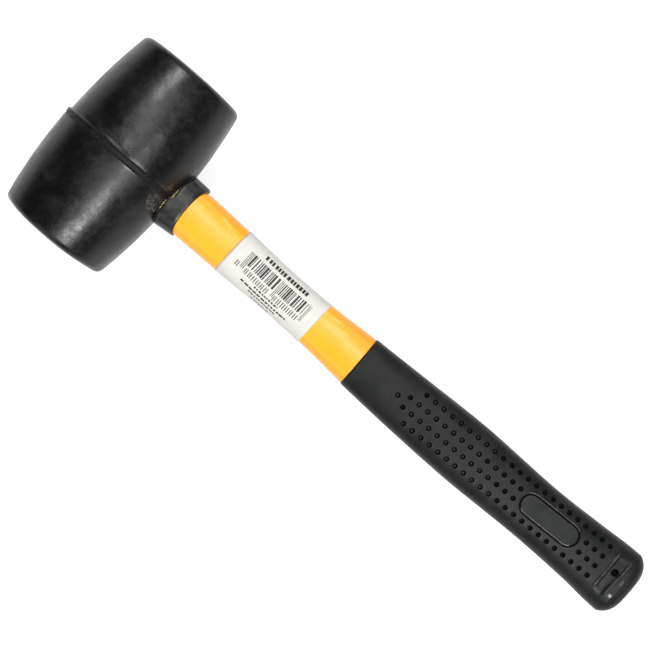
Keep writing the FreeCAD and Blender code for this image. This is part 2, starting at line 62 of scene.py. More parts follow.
# head
HEAD_HALF_LENGTH = (FACE_A - FACE_B).length * 500.0
HEAD_RADIUS = 31.2
HEAD_FACETS = 192
BARREL_ARC = 265.0
FACE_MIDDLE = HEAD_HALF_LENGTH - 0.05
FACE_LAND = 18.0
FACE_CROWN = 40.0
FACE_EDGE = 2.6
HALF_SHIFT = 0.6
HEAD_LEAN = 0.004
HEAD_SHIFT = 0.25
LOWER_HALF_LOSS = 0.2
FLASH_HEIGHT = 0.92
FLASH_HALF_WIDTH = 1.12
FLASH_FIN = math.radians(101.0)
FLASH_OFFSET = 0.15
FLASH_POINTS = 11
WORN = 0.9
FLASH_GAP = math.radians(27.0)

# handle sections: distance from the head's axis, half width, half height
JACKET_STATIONS = [
    (46.0, 11.87, 9.2),
    (66.0, 11.47, 9.0),
    (90.0, 10.6, 8.7),
    (116.0, 11.0, 8.9),
    (139.5, 12.45, 9.85),
]
GRIP_STATIONS = [
    (139.5, 12.75, 10.35),
    (168.0, 13.9, 11.45),
    (202.0, 14.85, 11.75),
    (243.0, 13.95, 11.45),
    (270.0, 14.75, 11.75),
    (284.0, 15.65, 12.15),
    (291.0, 15.85, 12.1),
]
BUTT_STATIONS = [
    (291.0, 15.85, 12.1),
    (293.3, 14.4, 11.2),
    (295.4, 12.0, 9.3),
    (296.6, 9.2, 7.1),
]
BUTT_END = 297.05
# the handle isn't quite straight: distance along it, and how far it strays across
BOW_STATIONS = [
    (29.0, 0.0),
    (42.0, 0.40),
    (62.0, 0.16),
    (92.0, -0.3),
    (125.0, -0.58),
    (160.0, -0.82),
    (200.0, -0.5),
    (245.0, -0.3),
    (275.0, 0.08),
    (297.0, -0.08),
]
JACKET_FULLNESS = 2.7
GRIP_FULLNESS = 3.1
SIDE_STEPS = 12

# root and tail of the jacket, and the rod through it
ROOT_START = -22.0
SOCKET_SPARE = 0.6
ROOT_END = 46.0
GROOVE_PITCH = 12.0
GROOVE_WIDTH = 4.0
GROOVE_DEPTH = 1.2
TAIL_END = 270.0
TAIL_HALF_WIDTH = 9.5
TAIL_HALF_HEIGHT = 7.0
CORE_RADIUS = 4.75
GRIP_START = 139.5

# scooped broad faces of the shaft, bounded by creases that flare towards both ends
SCOOP_MIDDLE = 89.0
SCOOP_REACH = 40.0
SCOOP_DEPTH = 0.85
CREASE_NARROW = 6.0
CREASE_FLARE = 3.3

# neck ring: half sizes where it starts, and how much it narrows over its length
COLLAR_BACK = 26.0
COLLAR_LENGTH = 16.0
COLLAR_HALF_WIDTH = 14.2
COLLAR_HALF_HEIGHT = 11.3
COLLAR_TAPER = 1.0
NECK_FLATNESS = 0.786
COLLAR_SHIFT = 0.4
COLLAR_FRONT = 40.5
COLLAR_FRONT_ARC = 24.0
COLLAR_GAP = 0.35

# dimples, plaque, band and hang hole
DIMPLE_FIRST = 162.1
DIMPLE_SHIFT = -0.68
DIMPLE_SLANT = math.radians(1.19)
DIMPLE_PITCH = 4.96
DIMPLE_CLOSING = 0.0083
ROW_PITCH = 5.39
DIMPLE_RADIUS = 1.1
LAST_COLUMN = 24
# dimple floors past this column take the dark pit finish, painted shade
DARK_COLUMN = 11
PLAQUE_COLUMNS = range(15, 22)
PLAQUE_MIDDLE = 248.5
PLAQUE_SHIFT = 1.05
PLAQUE_SLANT = math.radians(2.0)
PLAQUE_HALF_LENGTH = 15.8
PLAQUE_HALF_WIDTH = 5.45
BAND = (282.2, 287.5)
BAND_LIPS = (BAND[0] - 0.4, BAND[1] + 0.4)
BAND_SHIFT = 0.8
BAND_HALF_WIDTH = 8.9
BAND_DEPTH = 0.7
BAND_LIP_HEIGHT = 0.42
HOLE_MIDDLE = 285.2
HOLE_SHIFT = 2.35
HOLE_RADIUS = 1.65
HOLE_LINE_PITCH = 1.1
# small raised marks past the band: place, half lengths, height and finish number, a pale finish that
# paints their highlight
MOULD_MARKS = [(290.15, -6.7, 0.8, 0.55, 0.35, 3), (290.4, 0.4, 0.6, 1.5, 0.25, 4)]

# lines of the grip's grid across its broad faces, and those round the plaque and the hole
ROW_LINES = 16
PLAQUE_ROWS = (4, 12)
HOLE_ROWS = (6, 10)

# label, and how far it and its print are turned
LABEL_LENGTH = 48.5
LABEL_WIDTH = 36.0
LABEL_START = 65.2
LABEL_EDGE = 1.4
LABEL_TURN = math.radians(2.7)
LABEL_UNDERSIDE = 0.1
LABEL_TOP = 0.22
INK_TOP = LABEL_TOP + 0.025
INK_UNDERSIDE = LABEL_TOP - 0.01
PRINT_SLOPE = 0.036
PRINT_PIVOT = 43.0


# ------------------------------------------------------------------ small helpers

def smoothstep(low, high, value):
    """0 below low, 1 above high, smooth between."""
    share = min(max((value - low) / (high - low), 0.0), 1.0)
    return share * share * (3.0 - 2.0 * share)


def wobble(x, y, z, size, seed=0.0):
    """Smooth noise from -1 to 1 whose lumps are about size mm across."""
    return noise.noise(Vector((x / size + seed, y / size - seed, z / size + 3.0 * seed)))


def between(stations, place):
    """Values of a table of stations at a place, on a smooth curve through them."""
    table = np.array(stations)
    place = min(max(place, table[0][0]), table[-1][0])
    index = min(max(np.searchsorted(table[:, 0], place) - 1, 0), len(table) - 2)
    before, start, end, after = table[np.clip(range(index - 1, index + 3), 0, len(table) - 1)]
    span = end[0] - start[0]
    share = (place - start[0]) / span
    first, last = [gap / gap[0] * span for gap in (end - before, after - start)]
    cubic = (2.0 * (start - end) + first + last) * share ** 3
    square = (3.0 * (end - start) - 2.0 * first - last) * share ** 2
    return (cubic + square + first * share + start)[1:].tolist()


def bow(x):
    """How far the handle strays across at a place along it."""
    return between(BOW_STATIONS, x)[0]


def oval_height(across, half_width, half_height, fullness):
    """Height of an oval section's top at a distance across."""
    share = min(abs(across) / half_width, 1.0)
    return half_height * (1.0 - share ** fullness) ** (1.0 / fullness)


def oval_curve(turns, half_width, half_height, fullness):
    """An oval at a row of turns: places across, heights, and the distance walked."""
    across = half_width * np.abs(np.cos(turns)) ** (2.0 / fullness) * np.sign(np.cos(turns))
    height = half_height * np.abs(np.sin(turns)) ** (2.0 / fullness) * np.sign(np.sin(turns))
    walked = np.concatenate([[0.0], np.cumsum(np.hypot(np.diff(across), np.diff(height)))])
    return across, height, walked


def at_stops(stops, across, height, walked):
    """Points of a curve after the given distances along it."""
    return list(zip(np.interp(stops, walked, across), np.interp(stops, walked, height)))


def oval_side(edge, half_width, half_height, fullness):
    """Points evenly spaced round one side, from the top at edge to the underside."""
    start = math.acos(min(abs(edge) / half_width, 1.0) ** (fullness / 2.0))
    curve = oval_curve(np.linspace(start, -start, 81), half_width, half_height, fullness)
    stops = np.linspace(0.0, curve[-1][-1], SIDE_STEPS + 1)[1:-1]
    return [(math.copysign(y, edge), z) for y, z in at_stops(stops, *curve)]


def even_oval(half_width, half_height, count):
    """Points evenly spaced all round the neck's oval, from its +Y end towards +Z."""
    curve = oval_curve(np.linspace(0.0, 2.0 * math.pi, 237), half_width, half_height, JACKET_FULLNESS)
    return at_stops(np.linspace(0.0, curve[-1][-1], count, endpoint=False), *curve)


def ring(lines, half_width, half_height, fullness, lift=None):
    """One closed section: top lines, one side, the same lines below, the other side."""
    def height(y):
        return oval_height(y, half_width, half_height, fullness) + (lift(y) if lift else 0.0)
    top = [(y, height(y)) for y in lines]
    right = oval_side(lines[-1], half_width, half_height, fullness)
    below = [(y, -height(y)) for y in reversed(lines)]
    left = oval_side(lines[0], half_width, half_height, fullness)
    return top + right + below + left[::-1]


def round_turns(count):
    """Angles evenly spaced round a circle."""
    return [2.0 * math.pi * step / count for step in range(count)]


def new_object(name, data):
    """A new object in the scene, for a mesh, a lamp or a camera."""
    thing = bpy.data.objects.new(name, data)
    bpy.context.scene.collection.objects.link(thing)
    return thing


class Builder:
    """Collects vertices, in the mallet's frame in mm, and faces with a material number."""

    def __init__(self):
        self.points = []
        self.faces = []
        self.finishes = []

    def add(self, point):
        self.points.append(tuple(point))
        return len(self.points) - 1

    def add_ring(self, x, section):
        return [self.add((x, y, z)) for y, z in section]

    def face(self, corners, finish=0):
        self.faces.append(tuple(corners))
        self.finishes.append(finish)

    def bridge(self, first, second, finish=0, skip=()):
        """Quads between two closed loops of the same length; one finish, or one a quad."""
        count = len(first)
        for step in range(count):
            if step not in skip:
                following = (step + 1) % count
                self.face((first[step], second[step], second[following], first[following]),
                          finish[step] if isinstance(finish, list) else finish)

    def tube(self, loops, finish=0, closed=False):
        """Quads along a row of closed loops, and back to the first one if it is closed."""
        for first, second in zip(loops, loops[1:] + loops[:1] if closed else loops[1:]):
            self.bridge(first, second, finish)

    def fan(self, loop, point, finish=0):
        """Triangles from a closed loop to one new point."""
        middle = self.add(point)
        for step, corner in enumerate(loop):
            self.face((corner, middle, loop[(step + 1) % len(loop)]), finish)

    def mesh(self, name, weld_mm=0.0):
        """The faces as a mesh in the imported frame, all of them pointing outwards."""
        mesh = bpy.data.meshes.new(name)
        mesh.from_pydata([TO_ROW @ Vector(point) for point in self.points], [], self.faces)
        for polygon, finish in zip(mesh.polygons, self.finishes):
            polygon.material_index = finish
        edit = bmesh.new()
        edit.from_mesh(mesh)
        if weld_mm:
            bmesh.ops.remove_doubles(edit, verts=edit.verts, dist=weld_mm * 0.001)
        bmesh.ops.recalc_face_normals(edit, faces=edit.faces)
        edit.to_mesh(mesh)
        edit.free()
        return mesh

    def build(self, name, materials, replaces=(), levels=0, weld_mm=0.0):
        """The finished object, riding on the mallet's one body."""
        piece = new_object(name, self.mesh(name, weld_mm))
        piece.data.shade_smooth()
        for material in materials:
            piece.data.materials.append(material)
        if levels:
            smooth = piece.modifiers.new("Smooth", "SUBSURF")
            smooth.levels = levels
            smooth.render_levels = levels
        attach(piece, "root")
        if replaces:
            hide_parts(*replaces)
        return piece


# ---------------------------------------------------------------------- materials

class Look:
    """One material with a Principled shader, and the few nodes that its pattern needs."""

    def __init__(self, name, colour, roughness, specular=0.5):
        self.material = bpy.data.materials.new(name)
        self.material.use_nodes = True
        self.tree = self.material.node_tree
        self.shader = self.tree.nodes["Principled BSDF"]
        self.finish({"Base Color": (*colour, 1.0), "Roughness": roughness,
                     "Specular IOR Level": specular})
        self.place = self.tree.nodes.new("ShaderNodeTexCoord").outputs["Object"]

    def finish(self, inputs, node=None):
        """Fill inputs of the shader, or of another node, with values or nodes' outputs."""
        for key, value in inputs.items():
            socket = (node or self.shader).inputs[key]
            if isinstance(value, bpy.types.NodeSocket):
                self.tree.links.new(value, socket)
            else:
                socket.default_value = value

    def node(self, kind, inputs, **settings):
        """The outputs of a new node."""
        made = self.tree.nodes.new(kind)
        for key, value in settings.items():
            setattr(made, key, value)
        self.finish(inputs, made)
        return made.outputs

    def cloud(self, size_mm, detail=4.0, rough=0.55, stretch=None):
        """Noise whose lumps are about size_mm across."""
        place = self.place
        if stretch:
            place = self.node("ShaderNodeMapping", {"Vector": place, "Scale": stretch})["Vector"]
        return self.node("ShaderNodeTexNoise", {"Vector": place, "Scale": 1000.0 / size_mm,
                                                "Detail": detail, "Roughness": rough})["Fac"]

    def specks(self, size_mm, share):
        """Small scattered dots, 1 on a dot and 0 elsewhere."""
        dots = self.node("ShaderNodeTexVoronoi", {"Vector": self.place, "Scale": 1000.0 / size_mm})
        return self.curve(dots["Distance"], share, share * 0.4, 0.0, 1.0)

    def curve(self, source, low, high, at_low, at_high):
        """Maps a value smoothly from one span to another."""
        return self.node(
            "ShaderNodeMapRange", {"Value": source, "From Min": low, "From Max": high, "To Min": at_low,
                                   "To Max": at_high}, interpolation_type="SMOOTHSTEP")["Result"]

    def blend(self, share, first, second):
        """A colour between two, by a share; each is a colour or another node's output."""
        first, second = [(*one, 1.0) if isinstance(one, tuple) else one for one in (first, second)]
        # a Mix node's sockets 6 and 7, and its output 2, are the ones for colours
        return self.node("ShaderNodeMix", {0: share, 6: first, 7: second}, data_type="RGBA")[2]

    def combine(self, operation, first, second):
        """The result of a Math node from a value and a second value or number."""
        return self.node("ShaderNodeMath", {0: first, 1: second}, operation=operation)[0]

    def relief(self, *layers):
        """Bumps, each a height and its depth in mm, one on top of the other."""
        normal = {}
        for height, depth_mm in layers:
            inputs = {"Height": height, "Distance": depth_mm * 0.001, **normal}
            normal = {"Normal": self.node("ShaderNodeBump", inputs)["Normal"]}
        self.finish(normal)


def head_rubber():
    """Dusty near-black rubber with cloudy sheen, faint scuffs and pin-prick specks."""
    look = Look("head_rubber_look", (0.005, 0.005, 0.005), 0.4, 0.3)
    clouds, dust = look.cloud(15.0, 5.0, 0.6), look.cloud(2.6, 6.0, 0.7)
    dusty = look.combine(
        "MULTIPLY", look.curve(clouds, 0.42, 0.68, 0.0, 1.0), look.curve(dust, 0.4, 0.75, 0.2, 1.0))
    base = look.blend(dusty, (0.0018, 0.002, 0.002), (0.009, 0.009, 0.0088))
    sheen = look.combine("ADD", clouds, look.combine("MULTIPLY", dust, 0.7))
    look.finish({"Base Color": look.blend(look.specks(4.5, 0.05), base, (0.06, 0.058, 0.052)),
                 "Roughness": look.curve(sheen, 0.6, 1.1, 0.25, 0.43)})
    look.relief((look.cloud(7.0, 3.0, 0.5), 0.13), (look.cloud(0.9, 3.0, 0.6), 0.04))
    return look.material


def mottled(name, base, cloud, share, colours, rough, *bumps):
    """A look whose colour, and roughness unless it is None, follow one cloud.

    base is its plain colour, roughness and specular level, and each bump is a cloud and
    its depth in mm.
    """
    look = Look(name, *base)
    clouds = look.cloud(*cloud)
    look.finish({"Base Color": look.blend(look.curve(clouds, *share, 0.0, 1.0), *colours)})
    if rough:
        look.finish({"Roughness": look.curve(clouds, *rough)})
    if bumps:
        look.relief(*[(look.cloud(*lumps), depth_mm) for lumps, depth_mm in bumps])
    return look


def flash_rubber():
    """The rough, dull, torn skin of the mould flash."""
    return mottled("flash_rubber_look", ((0.004, 0.004, 0.004), 0.6, 0.14), (1.2, 5.0, 0.7),
                   (0.4, 0.75), ((0.002, 0.002, 0.002), (0.012, 0.012, 0.0115)),
                   (0.35, 0.7, 0.35, 0.7), ((1.2, 5.0, 0.7), 0.14)).material


def collar_rubber():
    """Smooth dark grey rubber with faint stretch marks."""
    return mottled("collar_rubber_look", ((0.012, 0.012, 0.0125), 0.42, 0.3), (5.0, 4.0, 0.6),
                   (0.35, 0.7), ((0.006, 0.006, 0.0064), (0.016, 0.016, 0.0164)), (0.3, 0.7, 0.3, 0.44),
                   ((3.5, 3.0, 0.5), 0.05), ((0.4, 2.0, 0.5), 0.012)).material


def grip_rubber():
    """Satin black grip rubber with a fine moulded grain and handling marks."""
    return mottled("grip_rubber_look", ((0.0065, 0.0073, 0.007), 0.46, 0.148), (11.0, 5.0, 0.6),
                   (0.38, 0.7), ((0.0042, 0.005, 0.0047), (0.0098, 0.0108, 0.0102)),
                   (0.3, 0.72, 0.4, 0.54), ((0.35, 3.0, 0.6), 0.018), ((4.0, 2.0, 0.5), 0.04)).material


def polished_rubber():
    """The plaque's smoother rubber, a little greyer where it shines."""
    return mottled("plaque_rubber_look", ((0.008, 0.0095, 0.009), 0.42, 0.13), (7.0, 4.0, 0.6),
                   (0.35, 0.7), ((0.0055, 0.0066, 0.0062), (0.0112, 0.0126, 0.0119)),
                   (0.3, 0.7, 0.36, 0.48), ((0.3, 2.0, 0.5), 0.008)).material


def painted_highlight_rubber(name, dark, pale, specular):
    """Pale, smooth finish that paints a highlight on edges and marks of the grip."""
    return mottled(
        name, ((pale, pale, pale), 0.32, specular), (2.5, 4.0, 0.6), (0.35, 0.65),
        ((dark, dark * 1.04, dark), (pale, pale * 1.03, pale * 0.97)), (0.3, 0.7, 0.28, 0.42)).material


def pit_shade_rubber():
    """Dull dark rubber that paints shade inside the dimples, the plaque's groove and the hang hole,
    with a little dust.
    """
    return mottled("pit_shade_look", ((0.002, 0.002, 0.002), 0.7, 0.06), (0.9, 4.0, 0.6),
                   (0.5, 0.75), ((0.0015, 0.0015, 0.0015), (0.006, 0.0059, 0.0053)),
                   (0.3, 0.7, 0.6, 0.8), ((0.4, 2.0, 0.5), 0.02)).material


def yellow_plastic():
    """Satin yellow moulded plastic, deeper and rougher in faint flow clouds."""
    look = mottled(
        "yellow_plastic_look", ((0.83, 0.292, 0.0078), 0.3, 0.45), (16.0, 4.0, 0.55, (0.35, 1.0, 1.0)),
        (0.3, 0.7), ((0.82, 0.285, 0.006), (0.87, 0.326, 0.01)), (0.3, 0.7, 0.27, 0.35),
        ((0.6, 2.0, 0.5), 0.008), ((9.0, 2.0, 0.5), 0.05))
    look.finish({"Subsurface Weight": 0.03, "Subsurface Radius": (0.004, 0.002, 0.0006)})
    return look.material


def label_paper():
    """Coated white paper with a faint fibre mottle and slight yellowing."""
    return mottled("label_paper_look", ((0.7, 0.68, 0.64), 0.45, 0.25), (5.0, 5.0, 0.6), (0.35, 0.7),
                   ((0.493, 0.48, 0.453), (0.465, 0.452, 0.424)), (0.3, 0.7, 0.36, 0.5),
                   ((0.25, 2.0, 0.6), 0.006), ((10.0, 2.0, 0.5), 0.06)).material


def label_ink():
    """Dense black print, slightly worn."""
    return mottled("label_ink_look", ((0.012, 0.012, 0.014), 0.5, 0.4), (0.6, 4.0, 0.7), (0.56, 0.8),
                   ((0.012, 0.012, 0.014), (0.12, 0.12, 0.12)), None, ((0.6, 4.0, 0.7), 0.003)).material


def dirty_glue():
    """Hard dark crust of old glue with glossy facets and grime in its folds."""
    return mottled("dirty_glue_look", ((0.012, 0.011, 0.008), 0.2, 0.5), (1.3, 5.0, 0.7),
                   (0.45, 0.72), ((0.004, 0.004, 0.0038), (0.026, 0.025, 0.02)),
                   (0.3, 0.7, 0.1, 0.4), ((1.0, 4.0, 0.65), 0.35)).material


def hidden_plastic(name, first, second, size_mm):
    """A quiet two-tone finish for the pieces inside."""
    return mottled(name, (first, 0.45), (size_mm,), (0.35, 0.7), (first, second), None,
                   ((0.5, 2.0, 0.5), 0.02)).material


def amber_glue():
    """Glossy amber bead, clouded from inside, and painted dark away from the neck's middle as shade in
    the gap between head and neck ring.
    """
    look = mottled(
        "amber_glue_look", ((0.2, 0.13, 0.03), 0.2, 0.5), (1.6, 4.0, 0.6), (0.35, 0.68),
        ((0.06, 0.043, 0.012), (0.22, 0.17, 0.055)), (0.3, 0.7, 0.14, 0.3), ((0.7, 3.0, 0.6), 0.05))
    amber = look.shader.inputs["Base Color"].links[0].from_socket
    # painted shade: the bead turns near black away from the middle of the neck
    across = look.node("ShaderNodeSeparateXYZ", {"Vector": look.place})["Y"]
    away = look.combine("ABSOLUTE", look.combine("ADD", across, 0.0005), 0.0)
    look.finish({"Base Color": look.blend(look.curve(away, 0.0045, 0.008, 0.0, 1.0), amber,
                                          (0.01, 0.009, 0.006))})
    return look.material


# --------------------------------------------------------------------------- head

def barrel_radius(y):
    """Radius of the bare barrel; the half towards -Y came out a little smaller."""
    loss = LOWER_HALF_LOSS * smoothstep(0.5, -2.5, y)
    return HEAD_RADIUS - BARREL_ARC + math.sqrt(BARREL_ARC ** 2 - y ** 2) - loss


def half_offset(y):
    """How far the barrel's middle is off the axis: a lean, and the halves out of line."""
    step = HALF_SHIFT * (2.0 * smoothstep(-0.5, 0.5, y) - 1.0)
    return HEAD_SHIFT + HEAD_LEAN * y + step


def barrel_x(y, z):
    """Where the barrel's surface is on the handle's side."""
    return half_offset(y) + math.sqrt(max(barrel_radius(y) ** 2 - z ** 2, 0.0))


def barrel_z(x, y):
    """Height of the barrel's surface over a point, on the side that faces up."""
    return math.sqrt(max(barrel_radius(y) ** 2 - (x - half_offset(y)) ** 2, 0.0))


def head_profile():
    """Radius and distance from the middle plane, from a face's centre to the flash."""
    face = HEAD_HALF_LENGTH
    points = [(radius, face) for radius in (3.0, 6.0, 9.0, 12.0, 15.0, 17.0)]
    corner = face_corner()
    crown_end = corner[0] - FACE_EDGE * 0.9
    for radius in np.linspace(FACE_LAND + 1.0, crown_end, 7):
        points.append(
            (radius, face - FACE_CROWN + math.sqrt(FACE_CROWN ** 2 - (radius - FACE_LAND) ** 2)))
    points += corner_arc(points[-1], corner)
    start = points[-1][1]
    for y in np.linspace(start, 3.1, 27)[1:]:
        points.append((barrel_radius(y), y))
    return points


def face_corner():
    """Where the crowned face would meet the barrel without its rounded edge."""
    radius = HEAD_RADIUS
    for _ in range(30):
        y = HEAD_HALF_LENGTH - FACE_CROWN + math.sqrt(FACE_CROWN ** 2 - (radius - FACE_LAND) ** 2)
        radius = barrel_radius(y)
    return radius, y


def corner_arc(start, corner):
    """A rounded turn from the face to the barrel, as a quadratic through the corner."""
    end_y = corner[1] - FACE_EDGE
    points = np.array([start, corner, (barrel_radius(end_y), end_y)])
    return [tuple(np.array([(1.0 - share) ** 2, 2.0 * share * (1.0 - share), share ** 2]) @ points)
            for share in np.linspace(0.0, 1.0, 8)[1:]]


def flash_profile(turn):
    """The flash's section at an angle round the head: height above the barrel, and place."""
    fade = smoothstep(FLASH_GAP, FLASH_GAP + 0.22, abs(turn))
    rag = wobble(40.0 * math.cos(turn), 7.0, 40.0 * math.sin(turn), 2.2)
    slow = wobble(40.0 * math.cos(turn), 2.0, 40.0 * math.sin(turn), 13.0, 4.0)
    pits = wobble(40.0 * math.cos(turn), 9.0, 40.0 * math.sin(turn), 0.9, 8.0)
    height = FLASH_HEIGHT * fade * (0.78 + 0.14 * rag)
    fin = 0.2 * math.exp(-((turn - FLASH_FIN) / 0.13) ** 2)
    fading = 1.0 - 0.8 * smoothstep(math.radians(75.0), math.radians(50.0), abs(turn))
    half = FLASH_HALF_WIDTH * (0.95 + 0.12 * slow)
    half += 0.3 * math.exp(-((abs(turn) - FLASH_FIN) / 0.35) ** 2)
    middle = -0.3 - 0.3 * math.cos(turn) + 0.2 * slow + 0.12 * rag
    ramp = 0.01 + 0.1 * math.exp(-((abs(turn) - FLASH_FIN) / 0.2) ** 2)
    return [
        (0.0, middle + half + 0.8),
        (ramp, middle + half + 0.2),
        (height * fading + fin, middle + half - 0.02),
        (0.85 * height * fading + 0.6 * fin, middle + half - 0.3),
        (0.5 * height, middle + half - 0.55),
        ((0.62 + 0.2 * pits) * height * fading, middle + 0.3),
        ((0.6 - 0.2 * pits) * height * fading, middle - 0.35),
        (0.66 * height * fading, middle - half + 0.5),
        (0.72 * height * fading, middle - half + 0.2),
        (0.07, middle - half - 0.05),
        (0.0, middle - half - 0.75),
    ]


HEAD_DENTS = [
    # x, y, across in mm, depth in mm, on the side that faces up
    (22.9, -17.3, 1.7, 0.4),
    (-9.0, 22.0, 2.2, 0.15),
    (4.0, -31.0, 2.6, 0.16),
    (14.0, 30.0, 1.9, 0.14),
]


def head_sink(x, y, z):
    """How far the moulded surface lies below the ideal barrel, in mm."""
    sink = 0.08 * (1.0 + wobble(x, y, z, 13.0)) + 0.03 * (1.0 + wobble(x, y, z, 4.5, 2.0))
    if z > 0:
        for at_x, at_y, size, depth in HEAD_DENTS:
            away = math.hypot(x - at_x, y - at_y) / size
            sink += depth * math.exp(-away * away)
    return sink


def barrel_point(side, radius, y, turn):
    """A point of the moulded barrel, sunk below its ideal shape by wear and shrinkage."""
    worn = WORN * smoothstep(6.0, 28.0, radius) * smoothstep(34.0, 47.0, y)
    worn *= smoothstep(1.0, 0.4, math.sin(turn)) if side < 0 else 0.0
    radius *= barrel_radius(side * y) / barrel_radius(y)
    place = side * y
    across, height = radius * math.cos(turn), radius * math.sin(turn)
    sink = head_sink(across + half_offset(place), place, height)
    flat = smoothstep(HEAD_HALF_LENGTH - 4.0, HEAD_HALF_LENGTH, y)
    sink *= smoothstep(2.6, 5.5 if place < 0.0 else 10.0, abs(place))
    inward = 1.0 - sink * (1.0 - flat) / max(radius, 1.0)
    return (across * inward + half_offset(place), place - side * (0.6 * sink * flat + worn),
            height * inward)


def flash_point(step, turn):
    """A point of the flash; its two feet follow the barrel's halves."""
    signed = turn if turn <= math.pi else turn - 2.0 * math.pi
    height, y = flash_profile(signed)[step]
    radius = barrel_radius(y) + height
    foot = step in (0, FLASH_POINTS - 1)
    shift = half_offset(y) if foot else FLASH_OFFSET
    return radius * math.cos(turn) + shift, y, radius * math.sin(turn)


def make_head(rubber, rough_rubber):
    """The barrel with its flash, mismatched halves and socket."""
    builder = Builder()
    profile = head_profile()
    stations = [(1.0, point) for point in profile]
    stations += [(0.0, step) for step in range(FLASH_POINTS)]
    stations += [(-1.0, point) for point in profile[::-1]]
    rings, finishes = [], []
    for side, item in stations:
        rings.append([builder.add(barrel_point(side, *item, turn) if side else flash_point(item, turn))
                      for turn in round_turns(HEAD_FACETS)])
        finishes.append(0 if side or item in (0, FLASH_POINTS - 1) else 1)
    for first, second, finish in zip(rings, rings[1:], finishes):
        builder.bridge(first, second, finish)
    for loop, centre in ((rings[0], FACE_MIDDLE), (rings[-1], -FACE_MIDDLE)):
        builder.fan(loop, (half_offset(centre), centre, 0.0))
    head = builder.build("mallet_head", [rubber, rough_rubber], ["rubber_head"])
    cut_socket(head)
    return head


def cut_socket(head):
    """Cut the blind socket for the handle's root out of the head's mesh."""
    builder = Builder()
    half_width, half_height = [size + SOCKET_SPARE for size in JACKET_STATIONS[0][1:]]
    section = ring(list(np.linspace(-8.0, 8.0, 9)), half_width, half_height, JACKET_FULLNESS)
    near = builder.add_ring(ROOT_START - 1.0, section)
    far = builder.add_ring(HEAD_RADIUS + 12.0, section)
    builder.bridge(near, far)
    builder.face(near)
    builder.face(far[::-1])
    tool = new_object("socket_tool", builder.mesh("socket_tool"))
    modifier = head.modifiers.new("Socket", "BOOLEAN")
    modifier.object = tool
    modifier.operation = "DIFFERENCE"
    modifier.solver = "EXACT"
    bpy.context.view_layer.update()
    graph = bpy.context.evaluated_depsgraph_get()
    cut = bpy.data.meshes.new_from_object(head.evaluated_get(graph))
    head.modifiers.clear()
    head.data = cut
    bpy.data.objects.remove(tool)


# ------------------------------------------------------------------------- jacket

def scoop_edge(x):
    """0 at the scoop's middle, rising to 1 at its ends and past them."""
    return min(abs(x - SCOOP_MIDDLE) / SCOOP_REACH, 1.0) ** 2


def crease_at(x):
    """Distance of the scoop's creases from the middle of the broad face."""
    return CREASE_NARROW + CREASE_FLARE * scoop_edge(x)


def scoop_at(x):
    """Depth of the scoop at a place along the shaft."""
    return SCOOP_DEPTH * (1.0 - scoop_edge(x))


def scoop_relief(x, y):
    """The scooped face above or below the plain oval: a dish, a small step and a crest."""
    depth, crease = scoop_at(x), crease_at(x)
    inside = 1.0 - smoothstep(crease - (1.0 if y > 0 else 3.5), crease - 0.1, abs(y))
    dish = max(1.0 - (y / crease) ** 2, 0.0)
    crest = 1.0 - smoothstep(0.0, 0.8, abs(abs(y) - crease))
    bare = 1.0 - smoothstep(LABEL_START - 2.5, LABEL_START - 1.0, x)
    bare += smoothstep(LABEL_START + LABEL_LENGTH + 1.0, LABEL_START + LABEL_LENGTH + 2.5, x)
    crest *= 0.2 * bare * smoothstep(0.0, 0.25, depth) if y > 0 else 0.0
    return crest - depth * (0.85 * inside + 0.45 * dish)


def jacket_lines(x):
    """Lines across the broad face, close together at the creases."""
    crease = crease_at(x)
    right = [crease * share for share in (0.2, 0.4, 0.6, 0.76)]
    right += [crease - 0.8, crease - 0.4, crease - 0.05, crease + 0.3, crease + 0.8]
    return [-y for y in reversed(right)] + [0.0] + right


def shifted(x, section):
    """A section moved across by the handle's bow."""
    return [(y + bow(x), z) for y, z in section]


def jacket_section(x):
    """The jacket's outside at a place along the handle."""
    half_width, half_height = between(JACKET_STATIONS, x)
    return shifted(x, ring(jacket_lines(x), half_width, half_height, JACKET_FULLNESS,
                           lambda y: scoop_relief(x, y)))


def root_section(depth=0.0):
    """The plain root's outside, drawn in by a groove's depth."""
    half_width = JACKET_STATIONS[0][1] - depth
    half_height = JACKET_STATIONS[0][2] - depth
    return ring([y * (1.0 - depth / half_width) for y in jacket_lines(ROOT_END)],
                half_width, half_height, JACKET_FULLNESS)


def tail_section(spare=0.0):
    """The tail's outside, which the grip's cavity fits."""
    lines = [y * 0.78 for y in jacket_lines(SCOOP_MIDDLE)]
    return ring(lines, TAIL_HALF_WIDTH + spare, TAIL_HALF_HEIGHT + spare, GRIP_FULLNESS)


